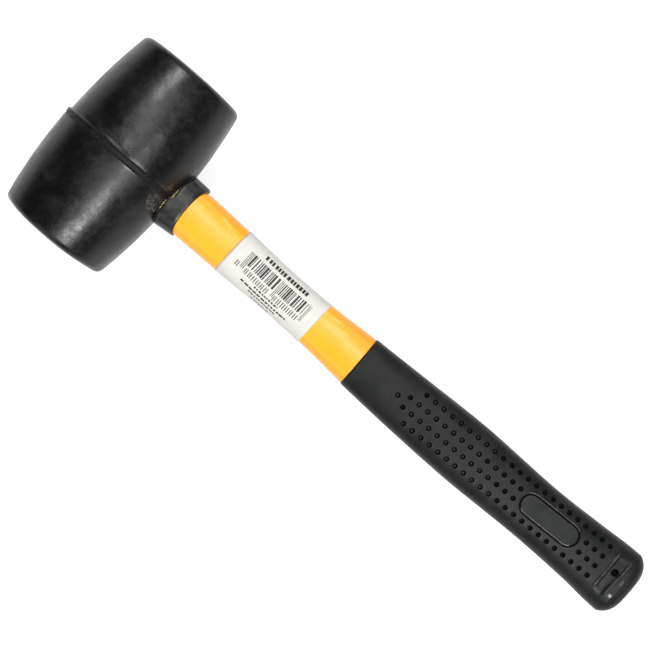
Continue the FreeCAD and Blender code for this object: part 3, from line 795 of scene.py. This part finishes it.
def make_jacket(plastic):
    """Root with its grooves, scooped shaft, and tail, as one tube over the rod."""
    builder = Builder()
    rings = [(ROOT_START, root_section(0.3)), (ROOT_START + 0.3, root_section())]
    for groove in range(3):
        start = ROOT_START + GROOVE_PITCH * (groove + 1) - GROOVE_WIDTH
        for step, depth in ((0.0, 0.0), (0.25, GROOVE_DEPTH),
                            (GROOVE_WIDTH - 0.25, GROOVE_DEPTH), (GROOVE_WIDTH, 0.0)):
            rings.append((start + step, root_section(depth)))
    rings += [(x, shifted(x, root_section())) for x in (22.0, 28.0, 31.0, 34.0, 37.0, 40.0, 43.0)]
    rings += [(x, jacket_section(x)) for x in np.linspace(ROOT_END, GRIP_START - 0.4, 74)]
    rings.append((GRIP_START - 0.05, jacket_section(GRIP_START)))
    rings += [(GRIP_START, tail_section(1.0)), (GRIP_START + 0.1, tail_section())]
    rings += [(x, tail_section()) for x in np.linspace(150.0, TAIL_END - 0.5, 9)]
    rings.append((TAIL_END, tail_section(-0.4)))
    loops = [builder.add_ring(x, section) for x, section in rings]
    bore = [bore_loop(builder, x, rings[0][1]) for x in (TAIL_END, 150.0, 60.0, ROOT_START)]
    builder.tube(loops + bore, closed=True)
    return builder.build("mallet_shaft", [plastic], ["shaft_jacket"])


def bore_loop(builder, x, section):
    """A round loop of the bore, with a point for each point of the section."""
    loop = []
    for y, z in section:
        size = CORE_RADIUS / math.hypot(y, z)
        loop.append(builder.add((x, y * size, z * size)))
    return loop


# -------------------------------------------------------------------- neck and glue

def collar_size(x):
    """Half width and half height of the neck ring's outside."""
    narrowing = COLLAR_TAPER * (x - COLLAR_BACK) / COLLAR_LENGTH
    return COLLAR_HALF_WIDTH - narrowing, COLLAR_HALF_HEIGHT - narrowing


def collar_front(z):
    """Where the neck ring's front edge is, at a height."""
    return COLLAR_FRONT - COLLAR_FRONT_ARC + math.sqrt(COLLAR_FRONT_ARC ** 2 - z ** 2)


def make_collar(rubber):
    """The rubber ring at the neck, saddle shaped at both ends, with soft uneven edges."""
    builder = Builder()
    count = 132
    inner = even_oval(JACKET_STATIONS[0][1] + 0.03, JACKET_STATIONS[0][2] + 0.03, count)
    profile = [(0.0, 0.0), (0.0, 0.55), (0.0, 0.82), (0.03, 0.95), (0.08, 1.0), (0.2, 1.0),
               (0.4, 1.0), (0.6, 1.0), (0.76, 1.0), (0.88, 0.96), (0.96, 0.84), (1.0, 0.66),
               (1.0, 0.5), (1.0, 0.0), (0.7, 0.0), (0.35, 0.0)]
    unit = even_oval(1.0, NECK_FLATNESS, count)
    loops = []
    for along, outward in profile:
        loop = []
        for step in range(count):
            wave = wobble(*[30.0 * part for part in unit[step]], 5.0, 6.0, 7.0)
            seat = barrel_x(inner[step][0], inner[step][1] * 1.12) + COLLAR_GAP
            front = collar_front(inner[step][1] * 1.1) + 0.22 * wave
            x = seat + along * (front - seat)
            half_width, half_height = collar_size(x)
            y = unit[step][0] * half_width + COLLAR_SHIFT
            z = unit[step][1] * half_height / NECK_FLATNESS
            swell = 1.0 - 0.012 * math.sin(math.pi * along) * (0.6 + wave)
            y = bow(x) + inner[step][0] + outward * (y * swell - inner[step][0])
            z = inner[step][1] + outward * (z * swell - inner[step][1])
            loop.append(builder.add((x, y, z)))
        loops.append(loop)
    builder.tube(loops, closed=True)
    return builder.build("mallet_neck_ring", [rubber], ["neck_collar"], 1)


def bead_size(y, z):
    """Thickness of the squeezed glue round the neck: fat at the middle of the upper face."""
    shown = smoothstep(-9.5, -7.0, y) * (1.0 - smoothstep(3.5, 7.0, y)) if z > 0 else 0.0
    return 0.1 + shown * (0.36 + 0.2 * wobble(y, z, 0.0, 2.2, 5.0))


def make_bead(glue):
    """A bead of glue in the corner between the barrel and the neck ring."""
    builder = Builder()
    loops = [[] for _ in range(10)]
    half_width, half_height = collar_size(30.0)
    for share_y, share_z in even_oval(1.0, NECK_FLATNESS, 168):
        y = share_y * half_width + COLLAR_SHIFT + bow(32.0)
        z = share_z / NECK_FLATNESS * half_height
        length = math.hypot(y, z)
        size = bead_size(y, z)
        x = barrel_x(y, z) + 0.25
        for loop, turn in zip(loops, round_turns(len(loops))):
            inside = math.sin(turn) < 0
            out = (1.4 if inside else size) * math.sin(turn)
            flat = 0.24 if inside else size * 0.8
            shift = -0.3 * size if math.sin(turn) > 0 else 0.0
            loop.append(builder.add((x + shift + flat * math.cos(turn), y * (1.0 + out / length),
                                     z * (1.0 + out / length))))
    builder.tube(loops, closed=True)
    return builder.build("mallet_glue_bead", [glue], ["glue_bead"], 1)


def make_crust(name, glue, middle, reach, thickness, seed):
    """A lumpy, ragged smear of old glue on the barrel beside the neck."""
    builder = Builder()
    rounds = 16
    loops = []
    for level in (1.0, -1.0):
        for round_index in (range(rounds, 0, -1) if level > 0 else range(1, rounds + 1)):
            share = round_index / rounds
            loop = []
            for turn in round_turns(56):
                ragged = 1.0 + 0.22 * wobble(9.0 * math.cos(turn), 9.0 * math.sin(turn), seed, 4.0)
                x = middle[0] + reach[0] * ragged * share * math.cos(turn)
                y = middle[1] + reach[1] * ragged * share * math.sin(turn)
                lump = 0.5 + 0.5 * wobble(x, y, seed, 1.5, seed) + 0.35 * wobble(x, y, seed, 0.7)
                edge = 1.0 - smoothstep(0.72, 1.0, share)
                rise = (-0.1 + thickness * edge * max(lump, 0.06)) if level > 0 else -0.35
                reach_x = min(x, barrel_radius(y) - 0.6)
                height = barrel_z(reach_x, y)
                lean = reach_x / barrel_radius(y)
                loop.append(
                    builder.add((x + rise * lean, y, height + rise * math.sqrt(1 - lean * lean))))
            loops.append(loop)
    builder.tube(loops, closed=True)
    return builder.build(name, [glue], (), 1)


# --------------------------------------------------------------------------- grip

def dimple_x(column):
    """Place of a dimple column along the handle, before the field's slant."""
    return DIMPLE_FIRST + column * DIMPLE_PITCH - column * column * DIMPLE_CLOSING


def field_middle(x):
    """Where the middle of the dimple field is, across the broad face."""
    return DIMPLE_SHIFT + (x - DIMPLE_FIRST) * math.tan(DIMPLE_SLANT)


def grip_size(x):
    """Half width, half height and fullness of the grip at a place."""
    stations = GRIP_STATIONS if x <= BUTT_STATIONS[0][0] else BUTT_STATIONS
    half_width, half_height = between(stations, x)
    lip = 0.35 * (1.0 - smoothstep(GRIP_START, GRIP_START + 0.5, x))
    return half_width - lip, half_height - lip, GRIP_FULLNESS


def band_place(x, y):
    """A place along the handle, straightened by the slant of the band's far side."""
    return x - 0.05 * (y - BAND_SHIFT) * smoothstep(BAND[0], BAND[1], x)


def butt_finish(x, y, z):
    """The finish number of a point of the grip: a pale painted highlight on a raised mark or a band's
    lip.
    """
    if z < 0.0:
        return 0
    for at_x, at_y, long, wide, _, finish in MOULD_MARKS:
        if abs(x - at_x) < long and abs(y - at_y) < wide:
            return finish
    from_lip = min(abs(band_place(x, y) - edge) for edge in BAND_LIPS)
    return 4 if from_lip < 0.45 and abs(y - BAND_SHIFT) < BAND_HALF_WIDTH else 0


def band_relief(x, y):
    """The shallow band across the butt, with a raised lip along both its edges."""
    x = band_place(x, y)
    inside = smoothstep(BAND[0] - 0.05, BAND[0] + 0.4, x)
    inside *= 1.0 - smoothstep(BAND[1] - 0.4, BAND[1] + 0.05, x)
    lips = sum(math.exp(-((x - edge) / 0.5) ** 2) for edge in BAND_LIPS)
    reach = BAND_HALF_WIDTH + 1.2 * smoothstep(*BAND, x)
    across = 1.0 - smoothstep(reach - 3.0, reach + 0.6, abs(y - BAND_SHIFT))
    marks = sum(height * math.exp(-((x - at_x) / long) ** 2 - ((y - at_y) / wide) ** 2)
                for at_x, at_y, long, wide, height, _ in MOULD_MARKS)
    return across * (BAND_LIP_HEIGHT * lips - BAND_DEPTH * inside) + marks


def grip_height(x, y):
    """Height of the grip's broad face over a point."""
    half_width, half_height, fullness = grip_size(x)
    plain = oval_height(y - bow(x), half_width, half_height, fullness)
    return plain + band_relief(x, y)


def grip_x_lines():
    """Places of the grip's section lines: four to a dimple column, closer at edges."""
    lines = [GRIP_START, GRIP_START + 0.2, GRIP_START + 0.5, GRIP_START + 1.2]
    field = []
    for column in range(LAST_COLUMN + 1):
        low, high = dimple_x(column - 0.5), dimple_x(column + 0.5)
        field += [low + (high - low) * step / 4.0 for step in range(4)]
    field.append(dimple_x(LAST_COLUMN + 0.5))
    lines += list(np.linspace(lines[-1], field[0], 14)[1:-1])
    before_band = [BAND[0] + step for step in (-1.9, -1.3, -0.9, -0.6, -0.3, 0.0, 0.3)]
    hole = [HOLE_MIDDLE + HOLE_LINE_PITCH * step for step in (-2, -1, 0, 1, 2)]
    after = [BAND[1] + step for step in (0.15, 0.4, 0.75, 1.2, 1.8, 2.4, 2.9, 3.3, 3.6, 4.1, 4.8,
                                         5.6, 6.5, 7.4, 8.2, 8.7, 9.1)]
    return lines + field + before_band + hole + after


def grip_lines(x):
    """Lines across the broad face, four to a dimple row, pushed clear of the plaque."""
    half_width = grip_size(x)[0]
    spread = min(1.0, 0.88 * (half_width - abs(field_middle(x))) / (2 * ROW_PITCH))
    middle = field_middle(x) * spread
    near_plaque = smoothstep(PLAQUE_HALF_LENGTH + 3.5, PLAQUE_HALF_LENGTH - 2.0,
                             abs(x - PLAQUE_MIDDLE))
    lines = []
    for index in range(ROW_LINES + 1):
        across = (index - ROW_LINES / 2) * ROW_PITCH / 4.0
        push = -0.95 * near_plaque * math.exp(-((across + ROW_PITCH) / 1.6) ** 2)
        lines.append(middle + spread * across + push)
    return lines


def grip_ring(x):
    """The grip's outside section at a place."""
    half_width, half_height, fullness = grip_size(x)
    shift = bow(x)
    section = ring([y - shift for y in grip_lines(x)], half_width, half_height, fullness,
                   lambda y: band_relief(x, y + shift))
    return [(y + shift, z) for y, z in section]


def block_loop(loops, columns, rows):
    """Vertices round a block of the grid."""
    first, last = columns
    low, high = rows
    step = 1 if high > low else -1
    edge = [loops[column][low] for column in range(first, last)]
    edge += [loops[last][row] for row in range(low, high, step)]
    edge += [loops[column][high] for column in range(last, first, -1)]
    edge += [loops[first][row] for row in range(high, low, -step)]
    return edge


def add_patch(builder, loop, rings, finishes):
    """Quads from a loop inwards through rings of new points; gives back the last ring."""
    for points, finish in zip(rings, finishes):
        current = [builder.add(point) for point in points]
        builder.bridge(loop, current, finish)
        loop = current
    return loop


def add_round(builder, loop, middle, radius, steps, side):
    """Round rings inwards from a loop; each step is a share of the radius, a depth, a finish."""
    at_x, at_y = middle
    angles = [math.atan2(builder.points[corner][1] - at_y, builder.points[corner][0] - at_x)
              for corner in loop]
    rings = []
    for share, depth, _ in steps:
        reach = share * radius
        spots = [(at_x + reach * math.cos(angle), at_y + reach * math.sin(angle)) for angle in angles]
        rings.append([(x, y, side * (grip_height(x, y) - depth)) for x, y in spots])
    return add_patch(builder, loop, rings, [finish for _, _, finish in steps])


DIMPLE_STEPS = [
    # radius as a share of the dimple's, depth in mm, and finish number; finish 2 is the dark pit finish
    # that paints shade on the walls
    (1.3, 0.0, 0),
    (1.15, -0.05, 0),
    (1.04, 0.05, 2),
    (0.95, 0.5, 2),
    (0.52, 1.1, 2),
]


def add_dimple(builder, loop, column, row, side):
    """One dimple in the block of the grid round it; its walls, and the floors of the first columns and
    past DARK_COLUMN, take the dark pit finish of painted shade.
    """
    at_x = dimple_x(column)
    at_y = field_middle(at_x) + row * ROW_PITCH / 2.0
    at_x -= row * ROW_PITCH / 2.0 * math.tan(DIMPLE_SLANT)
    inner = add_round(builder, loop, (at_x, at_y), DIMPLE_RADIUS, DIMPLE_STEPS, side)
    floor = grip_height(at_x, at_y) - DIMPLE_STEPS[-1][1]
    # floors that aren't plain take the dark pit finish, painted shade with a little dust
    plain_floor = 1 < column + 3.0 * wobble(at_x, at_y, side, 3.0, 1.0) < DARK_COLUMN
    builder.fan(inner, (at_x, at_y, side * floor), 0 if plain_floor else 2)


PLAQUE_STEPS = [
    # distance in from the plaque's outer edge, height above the grip, and the finish number
    # on the +Y side, on the -Y side and round the ends; finish 3 paints a pale highlight on the
    # groove walls that face the light, and finish 2 paints shade in the groove
    (-0.6, 0.0, 0, 0, 0),
    (-0.2, 0.1, 0, 0, 0),
    (0.02, 0.1, 3, 0, 0),
    (0.14, -0.3, 3, 2, 2),
    (0.3, -0.62, 2, 2, 2),
    (0.55, -0.62, 2, 2, 2),
    (0.68, -0.2, 2, 3, 2),
    (0.82, 0.16, 2, 3, 1),
    (1.2, 0.26, 1, 3, 1),
    (1.5, 0.12, 1, 1, 1),
    (2.4, 0.14, 1, 1, 1),
    (3.5, 0.14, 1, 1, 1),
    (4.6, 0.14, 1, 1, 1),
    (5.44, 0.14, 1, 1, 1),
]


def add_plaque(builder, loop, side):
    """The raised oval plaque in its groove, whose walls carry painted highlight and painted shade by
    finish.
    """
    arm = PLAQUE_HALF_LENGTH - PLAQUE_HALF_WIDTH
    turn_x, turn_y = math.cos(PLAQUE_SLANT), math.sin(PLAQUE_SLANT)
    anchors = []
    for corner in loop:
        x, y = builder.points[corner][0] - PLAQUE_MIDDLE, builder.points[corner][1] - PLAQUE_SHIFT
        long, wide = x * turn_x + y * turn_y, y * turn_x - x * turn_y
        spine = min(max(long, -arm), arm)
        length = math.hypot(long - spine, wide)
        anchors.append((spine, (long - spine) / length, wide / length))
    rings, finishes = [], []
    for inset, height, *looks in PLAQUE_STEPS:
        reach = PLAQUE_HALF_WIDTH - inset
        points = []
        finishes.append([looks[0] if out_wide > 0.75 else looks[1] if out_wide < -0.75
                         else looks[2] for _, _, out_wide in anchors])
        for spine, out_long, out_wide in anchors:
            long, wide = spine + out_long * reach, out_wide * reach
            x = PLAQUE_MIDDLE + long * turn_x - wide * turn_y
            y = PLAQUE_SHIFT + wide * turn_x + long * turn_y
            points.append((x, y, side * (grip_height(x, y) + height)))
        rings.append(points)
    inner = add_patch(builder, loop, rings, finishes)
    close_slit(builder, inner, 1)


def close_slit(builder, loop, finish):
    """Close a long thin loop by quads across it."""
    count = len(loop)
    half = count // 2
    for step in range(half - 1):
        corners = (loop[step], loop[step + 1], loop[count - 2 - step], loop[count - 1 - step])
        builder.face(corners, finish)


# radius share, depth in mm and finish; finish 2 paints shade inside the hole
HOLE_STEPS = [(1.2, -0.03, 0), (1.06, 0.04, 0), (1.0, 0.35, 2)]


def add_hole(builder, upper, lower):
    """The hang hole, right through the butt, with softened rims and walls in the dark pit finish of
    painted shade.
    """
    top, bottom = [add_round(builder, loop, (HOLE_MIDDLE, HOLE_SHIFT), HOLE_RADIUS, HOLE_STEPS, side)
                   for loop, side in ((upper, 1.0), (lower, -1.0))]
    wall = [[builder.add((*builder.points[corner][:2], height)) for corner in top]
            for height in (8.0, 4.0, 0.0, -4.0, -8.0)]
    builder.tube([top] + wall + [bottom], 2)


def make_grip(looks):
    """The grip: outside with every dimple, plaque and hole, and the cavity for the tail."""
    builder = Builder()
    places = grip_x_lines()
    loops = [builder.add_ring(x, grip_ring(x)) for x in places]
    first_field = places.index(dimple_x(-0.5))
    sides = ((1.0, lambda row: row), (-1.0, lambda row: ROW_LINES * 2 + SIDE_STEPS - row))
    blocks, holes, skipped = [], [], set()
    for column in range(LAST_COLUMN + 1):
        start = first_field + 4 * column
        rows = (0,) if column == 0 else (1, -1)
        if column > 1:
            rows = (3, -3) if column in PLAQUE_COLUMNS else (3, 1, -1, -3)
        for row in rows:
            low = ROW_LINES // 2 + 2 * row - 2
            blocks.append(("dimple", (start, start + 4), (low, low + 4), (column, row)))
    plaque_start = first_field + 4 * PLAQUE_COLUMNS.start
    plaque_end = first_field + 4 * PLAQUE_COLUMNS.stop
    blocks.append(("plaque", (plaque_start, plaque_end), PLAQUE_ROWS, None))
    hole_start = places.index(HOLE_MIDDLE - 2 * HOLE_LINE_PITCH)
    blocks.append(("hole", (hole_start, hole_start + 4), HOLE_ROWS, None))
    for kind, columns, rows, detail in blocks:
        for side, to_row in sides:
            ends = (to_row(rows[0]), to_row(rows[1]))
            loop = block_loop(loops, columns, ends)
            skipped |= {(column, row) for column in range(*columns)
                        for row in range(min(ends), max(ends))}
            if kind == "dimple":
                add_dimple(builder, loop, *detail, side)
            elif kind == "plaque":
                add_plaque(builder, loop, side)
            else:
                holes.append(loop)
    add_hole(builder, *holes)
    for column, (first, second) in enumerate(zip(loops, loops[1:])):
        skip = {row for at, row in skipped if at == column}
        middles = [(Vector(builder.points[one]) + Vector(builder.points[other])) / 2.0
                   for one, other in zip(first, second[1:] + second[:1])]
        builder.bridge(first, second, [butt_finish(*middle) for middle in middles], skip)
    end = [builder.add_ring(x, [(share * y, share * z) for y, z in grip_ring(places[-1])])
           for share, x in ((0.68, BUTT_END - 0.15), (0.36, BUTT_END - 0.04))]
    builder.tube(loops[-1:] + end)
    builder.fan(end[-1], (BUTT_END, 0.0, 0.0))
    add_cavity(builder, loops[0])
    return builder.build("mallet_grip", looks, ["grip_sleeve"], 1, 0.005)


def add_cavity(builder, mouth):
    """The blind cavity that the jacket's tail fills, from the loop round its mouth."""
    lines = [(index - ROW_LINES / 2) * 0.92 for index in range(ROW_LINES + 1)]
    section = ring(lines, TAIL_HALF_WIDTH + 0.06, TAIL_HALF_HEIGHT + 0.06, GRIP_FULLNESS)
    loops = [builder.add_ring(x, section) for x in
             (GRIP_START, GRIP_START + 0.3, 160.0, 200.0, 240.0, TAIL_END - 0.2, TAIL_END + 0.05)]
    builder.tube([mouth] + loops)
    builder.fan(loops[-1], (TAIL_END + 0.05, 0.0, 0.0))


# -------------------------------------------------------------------------- label

def label_point(along, down, rise):
    """A point of the label: along its length, down its width, and above the shaft."""
    x = LABEL_START + along * math.cos(LABEL_TURN) - down * math.sin(LABEL_TURN)
    x += LABEL_WIDTH / 2.0 * math.sin(LABEL_TURN)
    round_by = LABEL_EDGE + down * math.cos(LABEL_TURN) + along * math.sin(LABEL_TURN)
    round_by -= LABEL_LENGTH / 2.0 * math.sin(LABEL_TURN)
    half_width, half_height = between(JACKET_STATIONS, x)
    outline = oval_curve(
        np.linspace(0.0, 1.5 * math.pi, 361), half_width + rise, half_height + rise, JACKET_FULLNESS)
    (y, z), = at_stops([round_by], *outline)
    y += bow(x)
    sag = 0.2 * scoop_at(x) * (1.0 - smoothstep(2.0, crease_at(x), abs(y))) if z > 0 else 0.0
    return x, y, z - sag


def add_sheet(builder, place, columns, rows, top, under):
    """A thin closed sheet; place gives a point for shares of its length and width, and rise."""
    high, low = [[[builder.add(place(column / columns, row / rows, rise)) for row in range(rows + 1)]
                  for column in range(columns + 1)] for rise in (top, under)]
    for i in range(columns):
        for j in range(rows):
            corners = [(i, j), (i + 1, j), (i + 1, j + 1), (i, j + 1)]
            builder.face([high[i][j] for i, j in corners])
            builder.face([low[i][j] for i, j in corners[::-1]])
    rim = [(i, 0) for i in range(columns)] + [(columns, j) for j in range(rows)]
    rim += [(i, rows) for i in range(columns, 0, -1)] + [(0, j) for j in range(rows, 0, -1)]
    builder.bridge([high[i][j] for i, j in rim], [low[i][j] for i, j in rim])


def make_label(paper):
    """The paper label, wrapped over the upper face and down past one side."""
    builder = Builder()
    add_sheet(
        builder, lambda along, down, rise: label_point(LABEL_LENGTH * along, LABEL_WIDTH * down, rise),
        48, 44, LABEL_TOP, LABEL_UNDERSIDE)
    return builder.build("mallet_label", [paper], ["barcode_label"])


def print_strip(builder, left, right, top, bottom):
    """One printed bar or dash: a very thin slab that follows the label, a little turned."""
    def place(along, down, rise):
        x = left + (right - left) * along
        return label_point(x, top + (bottom - top) * down + PRINT_SLOPE * (PRINT_PIVOT - x), rise)
    add_sheet(builder, place, max(1, round((right - left) / 1.2)),
              max(1, round((bottom - top) / 0.9)), INK_TOP, INK_UNDERSIDE)


def print_row(builder, draw, along, down, height, widths, gaps):
    """A row of upright marks or dashes of random width, between two places."""
    place = along[0]
    while place < along[1]:
        mark = draw.uniform(*widths)
        print_strip(builder, place, min(place + mark, along[1]), down, down + height)
        place += mark + draw.choice(gaps)


# rows of dashes: from and to, place down the label, height, widths and gaps, in mm
PRINT_HEADING = ((13.2, 38.1), 5.7, 2.15, (1.0, 1.5), (0.4, 0.45, 0.5, 0.9))
PRINT_LINES = [
    ((18.0, 31.8), 19.9, 0.8, (0.7, 1.5), (0.45, 0.6)),
    ((11.3, 38.4), 21.7, 0.75, (0.7, 2.4), (0.4, 0.55)),
    ((17.0, 32.8), 23.4, 0.6, (0.7, 1.8), (0.4, 0.5)),
    ((19.8, 30.4), 25.7, 0.6, (0.7, 1.6), (0.4, 0.5)),
]
# the block of bars, its longer guard bars, and the groups of upright marks under it
BARS = (7.0, 42.9)
BARS_DOWN = 9.6
GUARDS = [(7.0, 9.2), (24.6, 26.4), (40.8, 42.9)]
MARKS_DOWN = (16.7, 19.3)
MARK_GROUPS = [(4.6, 1), (10.0, 6), (27.2, 6)]
MARK_PITCH = 2.4
MARK_STROKE = 0.42


def make_print(ink):
    """Generic print: a heading, a block of bars, upright marks, and lines of dashes."""
    builder = Builder()
    draw = random.Random(11)
    print_row(builder, draw, *PRINT_HEADING)
    place, end = BARS
    while place < end:
        guard = any(low <= place <= high for low, high in GUARDS)
        bar = 0.3 if guard else draw.choice((0.35, 0.55, 0.6, 1.0))
        print_strip(builder, place, min(place + bar, end), BARS_DOWN, 18.3 if guard else 15.7)
        place += bar + (0.45 if guard else draw.choice((0.3, 0.45, 0.45, 0.9)))
    for start, count in MARK_GROUPS:
        for mark in range(count):
            left = start + MARK_PITCH * mark
            for stroke in (left, left + draw.uniform(0.9, 1.2)):
                print_strip(builder, stroke, stroke + MARK_STROKE, *MARKS_DOWN)
    for row in PRINT_LINES:
        print_row(builder, draw, *row)
    return builder.build("mallet_label_print", [ink])


# ------------------------------------------------------------ floor, light, camera

FLOOR_REACH = 3.0
FLOOR_GLOW = 0.78


def make_floor():
    """A plain pale floor under the mallet, lit a little from below like a light table."""
    mesh = bpy.data.meshes.new("floor")
    corners = [(FLOOR_REACH * x, FLOOR_REACH * y, 0.0) for x, y in ((-1, -1), (1, -1), (1, 1), (-1, 1))]
    mesh.from_pydata(corners, [], [(0, 1, 2, 3)])
    look = Look("floor_look", (0.3, 0.3, 0.3), 0.75, 0.2)
    look.finish({"Emission Color": (1.0, 1.0, 1.0, 1.0), "Emission Strength": FLOOR_GLOW})
    mesh.materials.append(look.material)
    new_object("floor", mesh)


def aim(thing, target, upward):
    """Point an object's -Z at a target, with its +Y towards upward."""
    back = (thing.location - target).normalized()
    right = upward.cross(back).normalized()
    thing.rotation_euler = Matrix((right, back.cross(right), back)).transposed().to_euler()


CAMERA_DISTANCE = 890.0
VIEW_WIDTH = 289.25
VIEW_MIDDLE = (117.7, 1.82)
HANDLE_FALL = math.radians(40.7)


def make_camera():
    """A camera square over the mallet, with the handle falling away to the lower right."""
    data = bpy.data.cameras.new("camera")
    data.sensor_fit = "HORIZONTAL"
    data.angle = 2.0 * math.atan(VIEW_WIDTH / 2.0 / CAMERA_DISTANCE)
    camera = new_object("camera", data)
    target = TO_ROW @ Vector((*VIEW_MIDDLE, 0.0))
    camera.location = TO_ROW @ Vector((*VIEW_MIDDLE, CAMERA_DISTANCE))
    upward = -math.sin(HANDLE_FALL) * ALONG + math.cos(HANDLE_FALL) * ACROSS
    aim(camera, target, upward)
    bpy.context.scene.camera = camera


def soft_light(name, place, size, power, target):
    """A rectangular soft light in the mallet's frame, its height along the head's axis."""
    data = bpy.data.lights.new(name, "AREA")
    data.shape = "RECTANGLE"
    data.size, data.size_y = size
    data.energy = power
    lamp = new_object(name, data)
    lamp.location = TO_ROW @ Vector(place)
    aim(lamp, TO_ROW @ Vector(target), ACROSS)


# soft boxes: place in mm, width and height in m, power in W, and how far along they aim
SOFT_BOXES = {
    "main_box": ((800.0, -220.0, 1400.0), (0.4, 0.8), 12.5, 60.0),
    "end_box": ((800.0, -590.0, 1350.0), (0.26, 0.24), 19.0, 0.0),
    "far_box": ((-430.0, 590.0, 1350.0), (0.46, 0.4), 13.0, 0.0),
    "streak_box": ((60.0, 200.0, 1400.0), (0.5, 0.15), 4.2, 90.0),
    "low_box": ((-100.0, -1500.0, 900.0), (1.4, 0.9), 7.0, 100.0),
    "high_box": ((-100.0, 1500.0, 900.0), (1.4, 0.9), 7.0, 100.0),
}
WORLD_GLOW = 0.07


def make_light():
    """A main softbox beyond the butt, weaker ones round it, and dim surroundings."""
    for name, (place, size, power, target) in SOFT_BOXES.items():
        soft_light(name, place, size, power, (target, 0.0, 0.0))
    world = bpy.data.worlds.new("surroundings")
    world.use_nodes = True
    background = world.node_tree.nodes["Background"]
    background.inputs["Color"].default_value = (1.0, 1.0, 1.0, 1.0)
    background.inputs["Strength"].default_value = WORLD_GLOW
    bpy.context.scene.world = world
    bpy.context.scene.view_settings.view_transform = "Standard"


def finish_hidden_nodes():
    """Materials for the CAD pieces that stay: the rod and the glue in the socket."""
    for name, look, first, second, size_mm in (
            ("fibreglass_core", "fibreglass_look", (0.62, 0.58, 0.42), (0.50, 0.46, 0.31), 1.5),
            ("socket_adhesive", "adhesive_look", (0.45, 0.28, 0.08), (0.34, 0.19, 0.05), 3.0)):
        material = hidden_plastic(look, first, second, size_mm)
        for holder in frame["nodes"][name].material_slots:
            holder.material = material


def main():
    """Build every piece, then the stage."""
    make_camera()
    make_light()
    make_floor()
    finish_hidden_nodes()
    make_head(head_rubber(), flash_rubber())
    make_jacket(yellow_plastic())
    make_collar(collar_rubber())
    make_bead(amber_glue())
    crust = dirty_glue()
    make_crust("mallet_glue_crust", crust, (26.4, -5.6), (3.6, 4.6), 0.8, 1.0)
    make_crust("mallet_glue_blob", crust, (27.4, 3.4), (1.2, 1.5), 0.5, 5.0)
    make_label(label_paper())
    make_print(label_ink())
    # finish 2 paints shade in the pits; finishes 3 and 4 paint pale highlights on the plaque's rim, the
    # band's lips and the marks
    make_grip([grip_rubber(), polished_rubber(), pit_shade_rubber(),
               painted_highlight_rubber("plaque_rim_highlight_look", 0.016, 0.06, 0.45),
               painted_highlight_rubber("lip_highlight_look", 0.014, 0.03, 0.24)])


main()
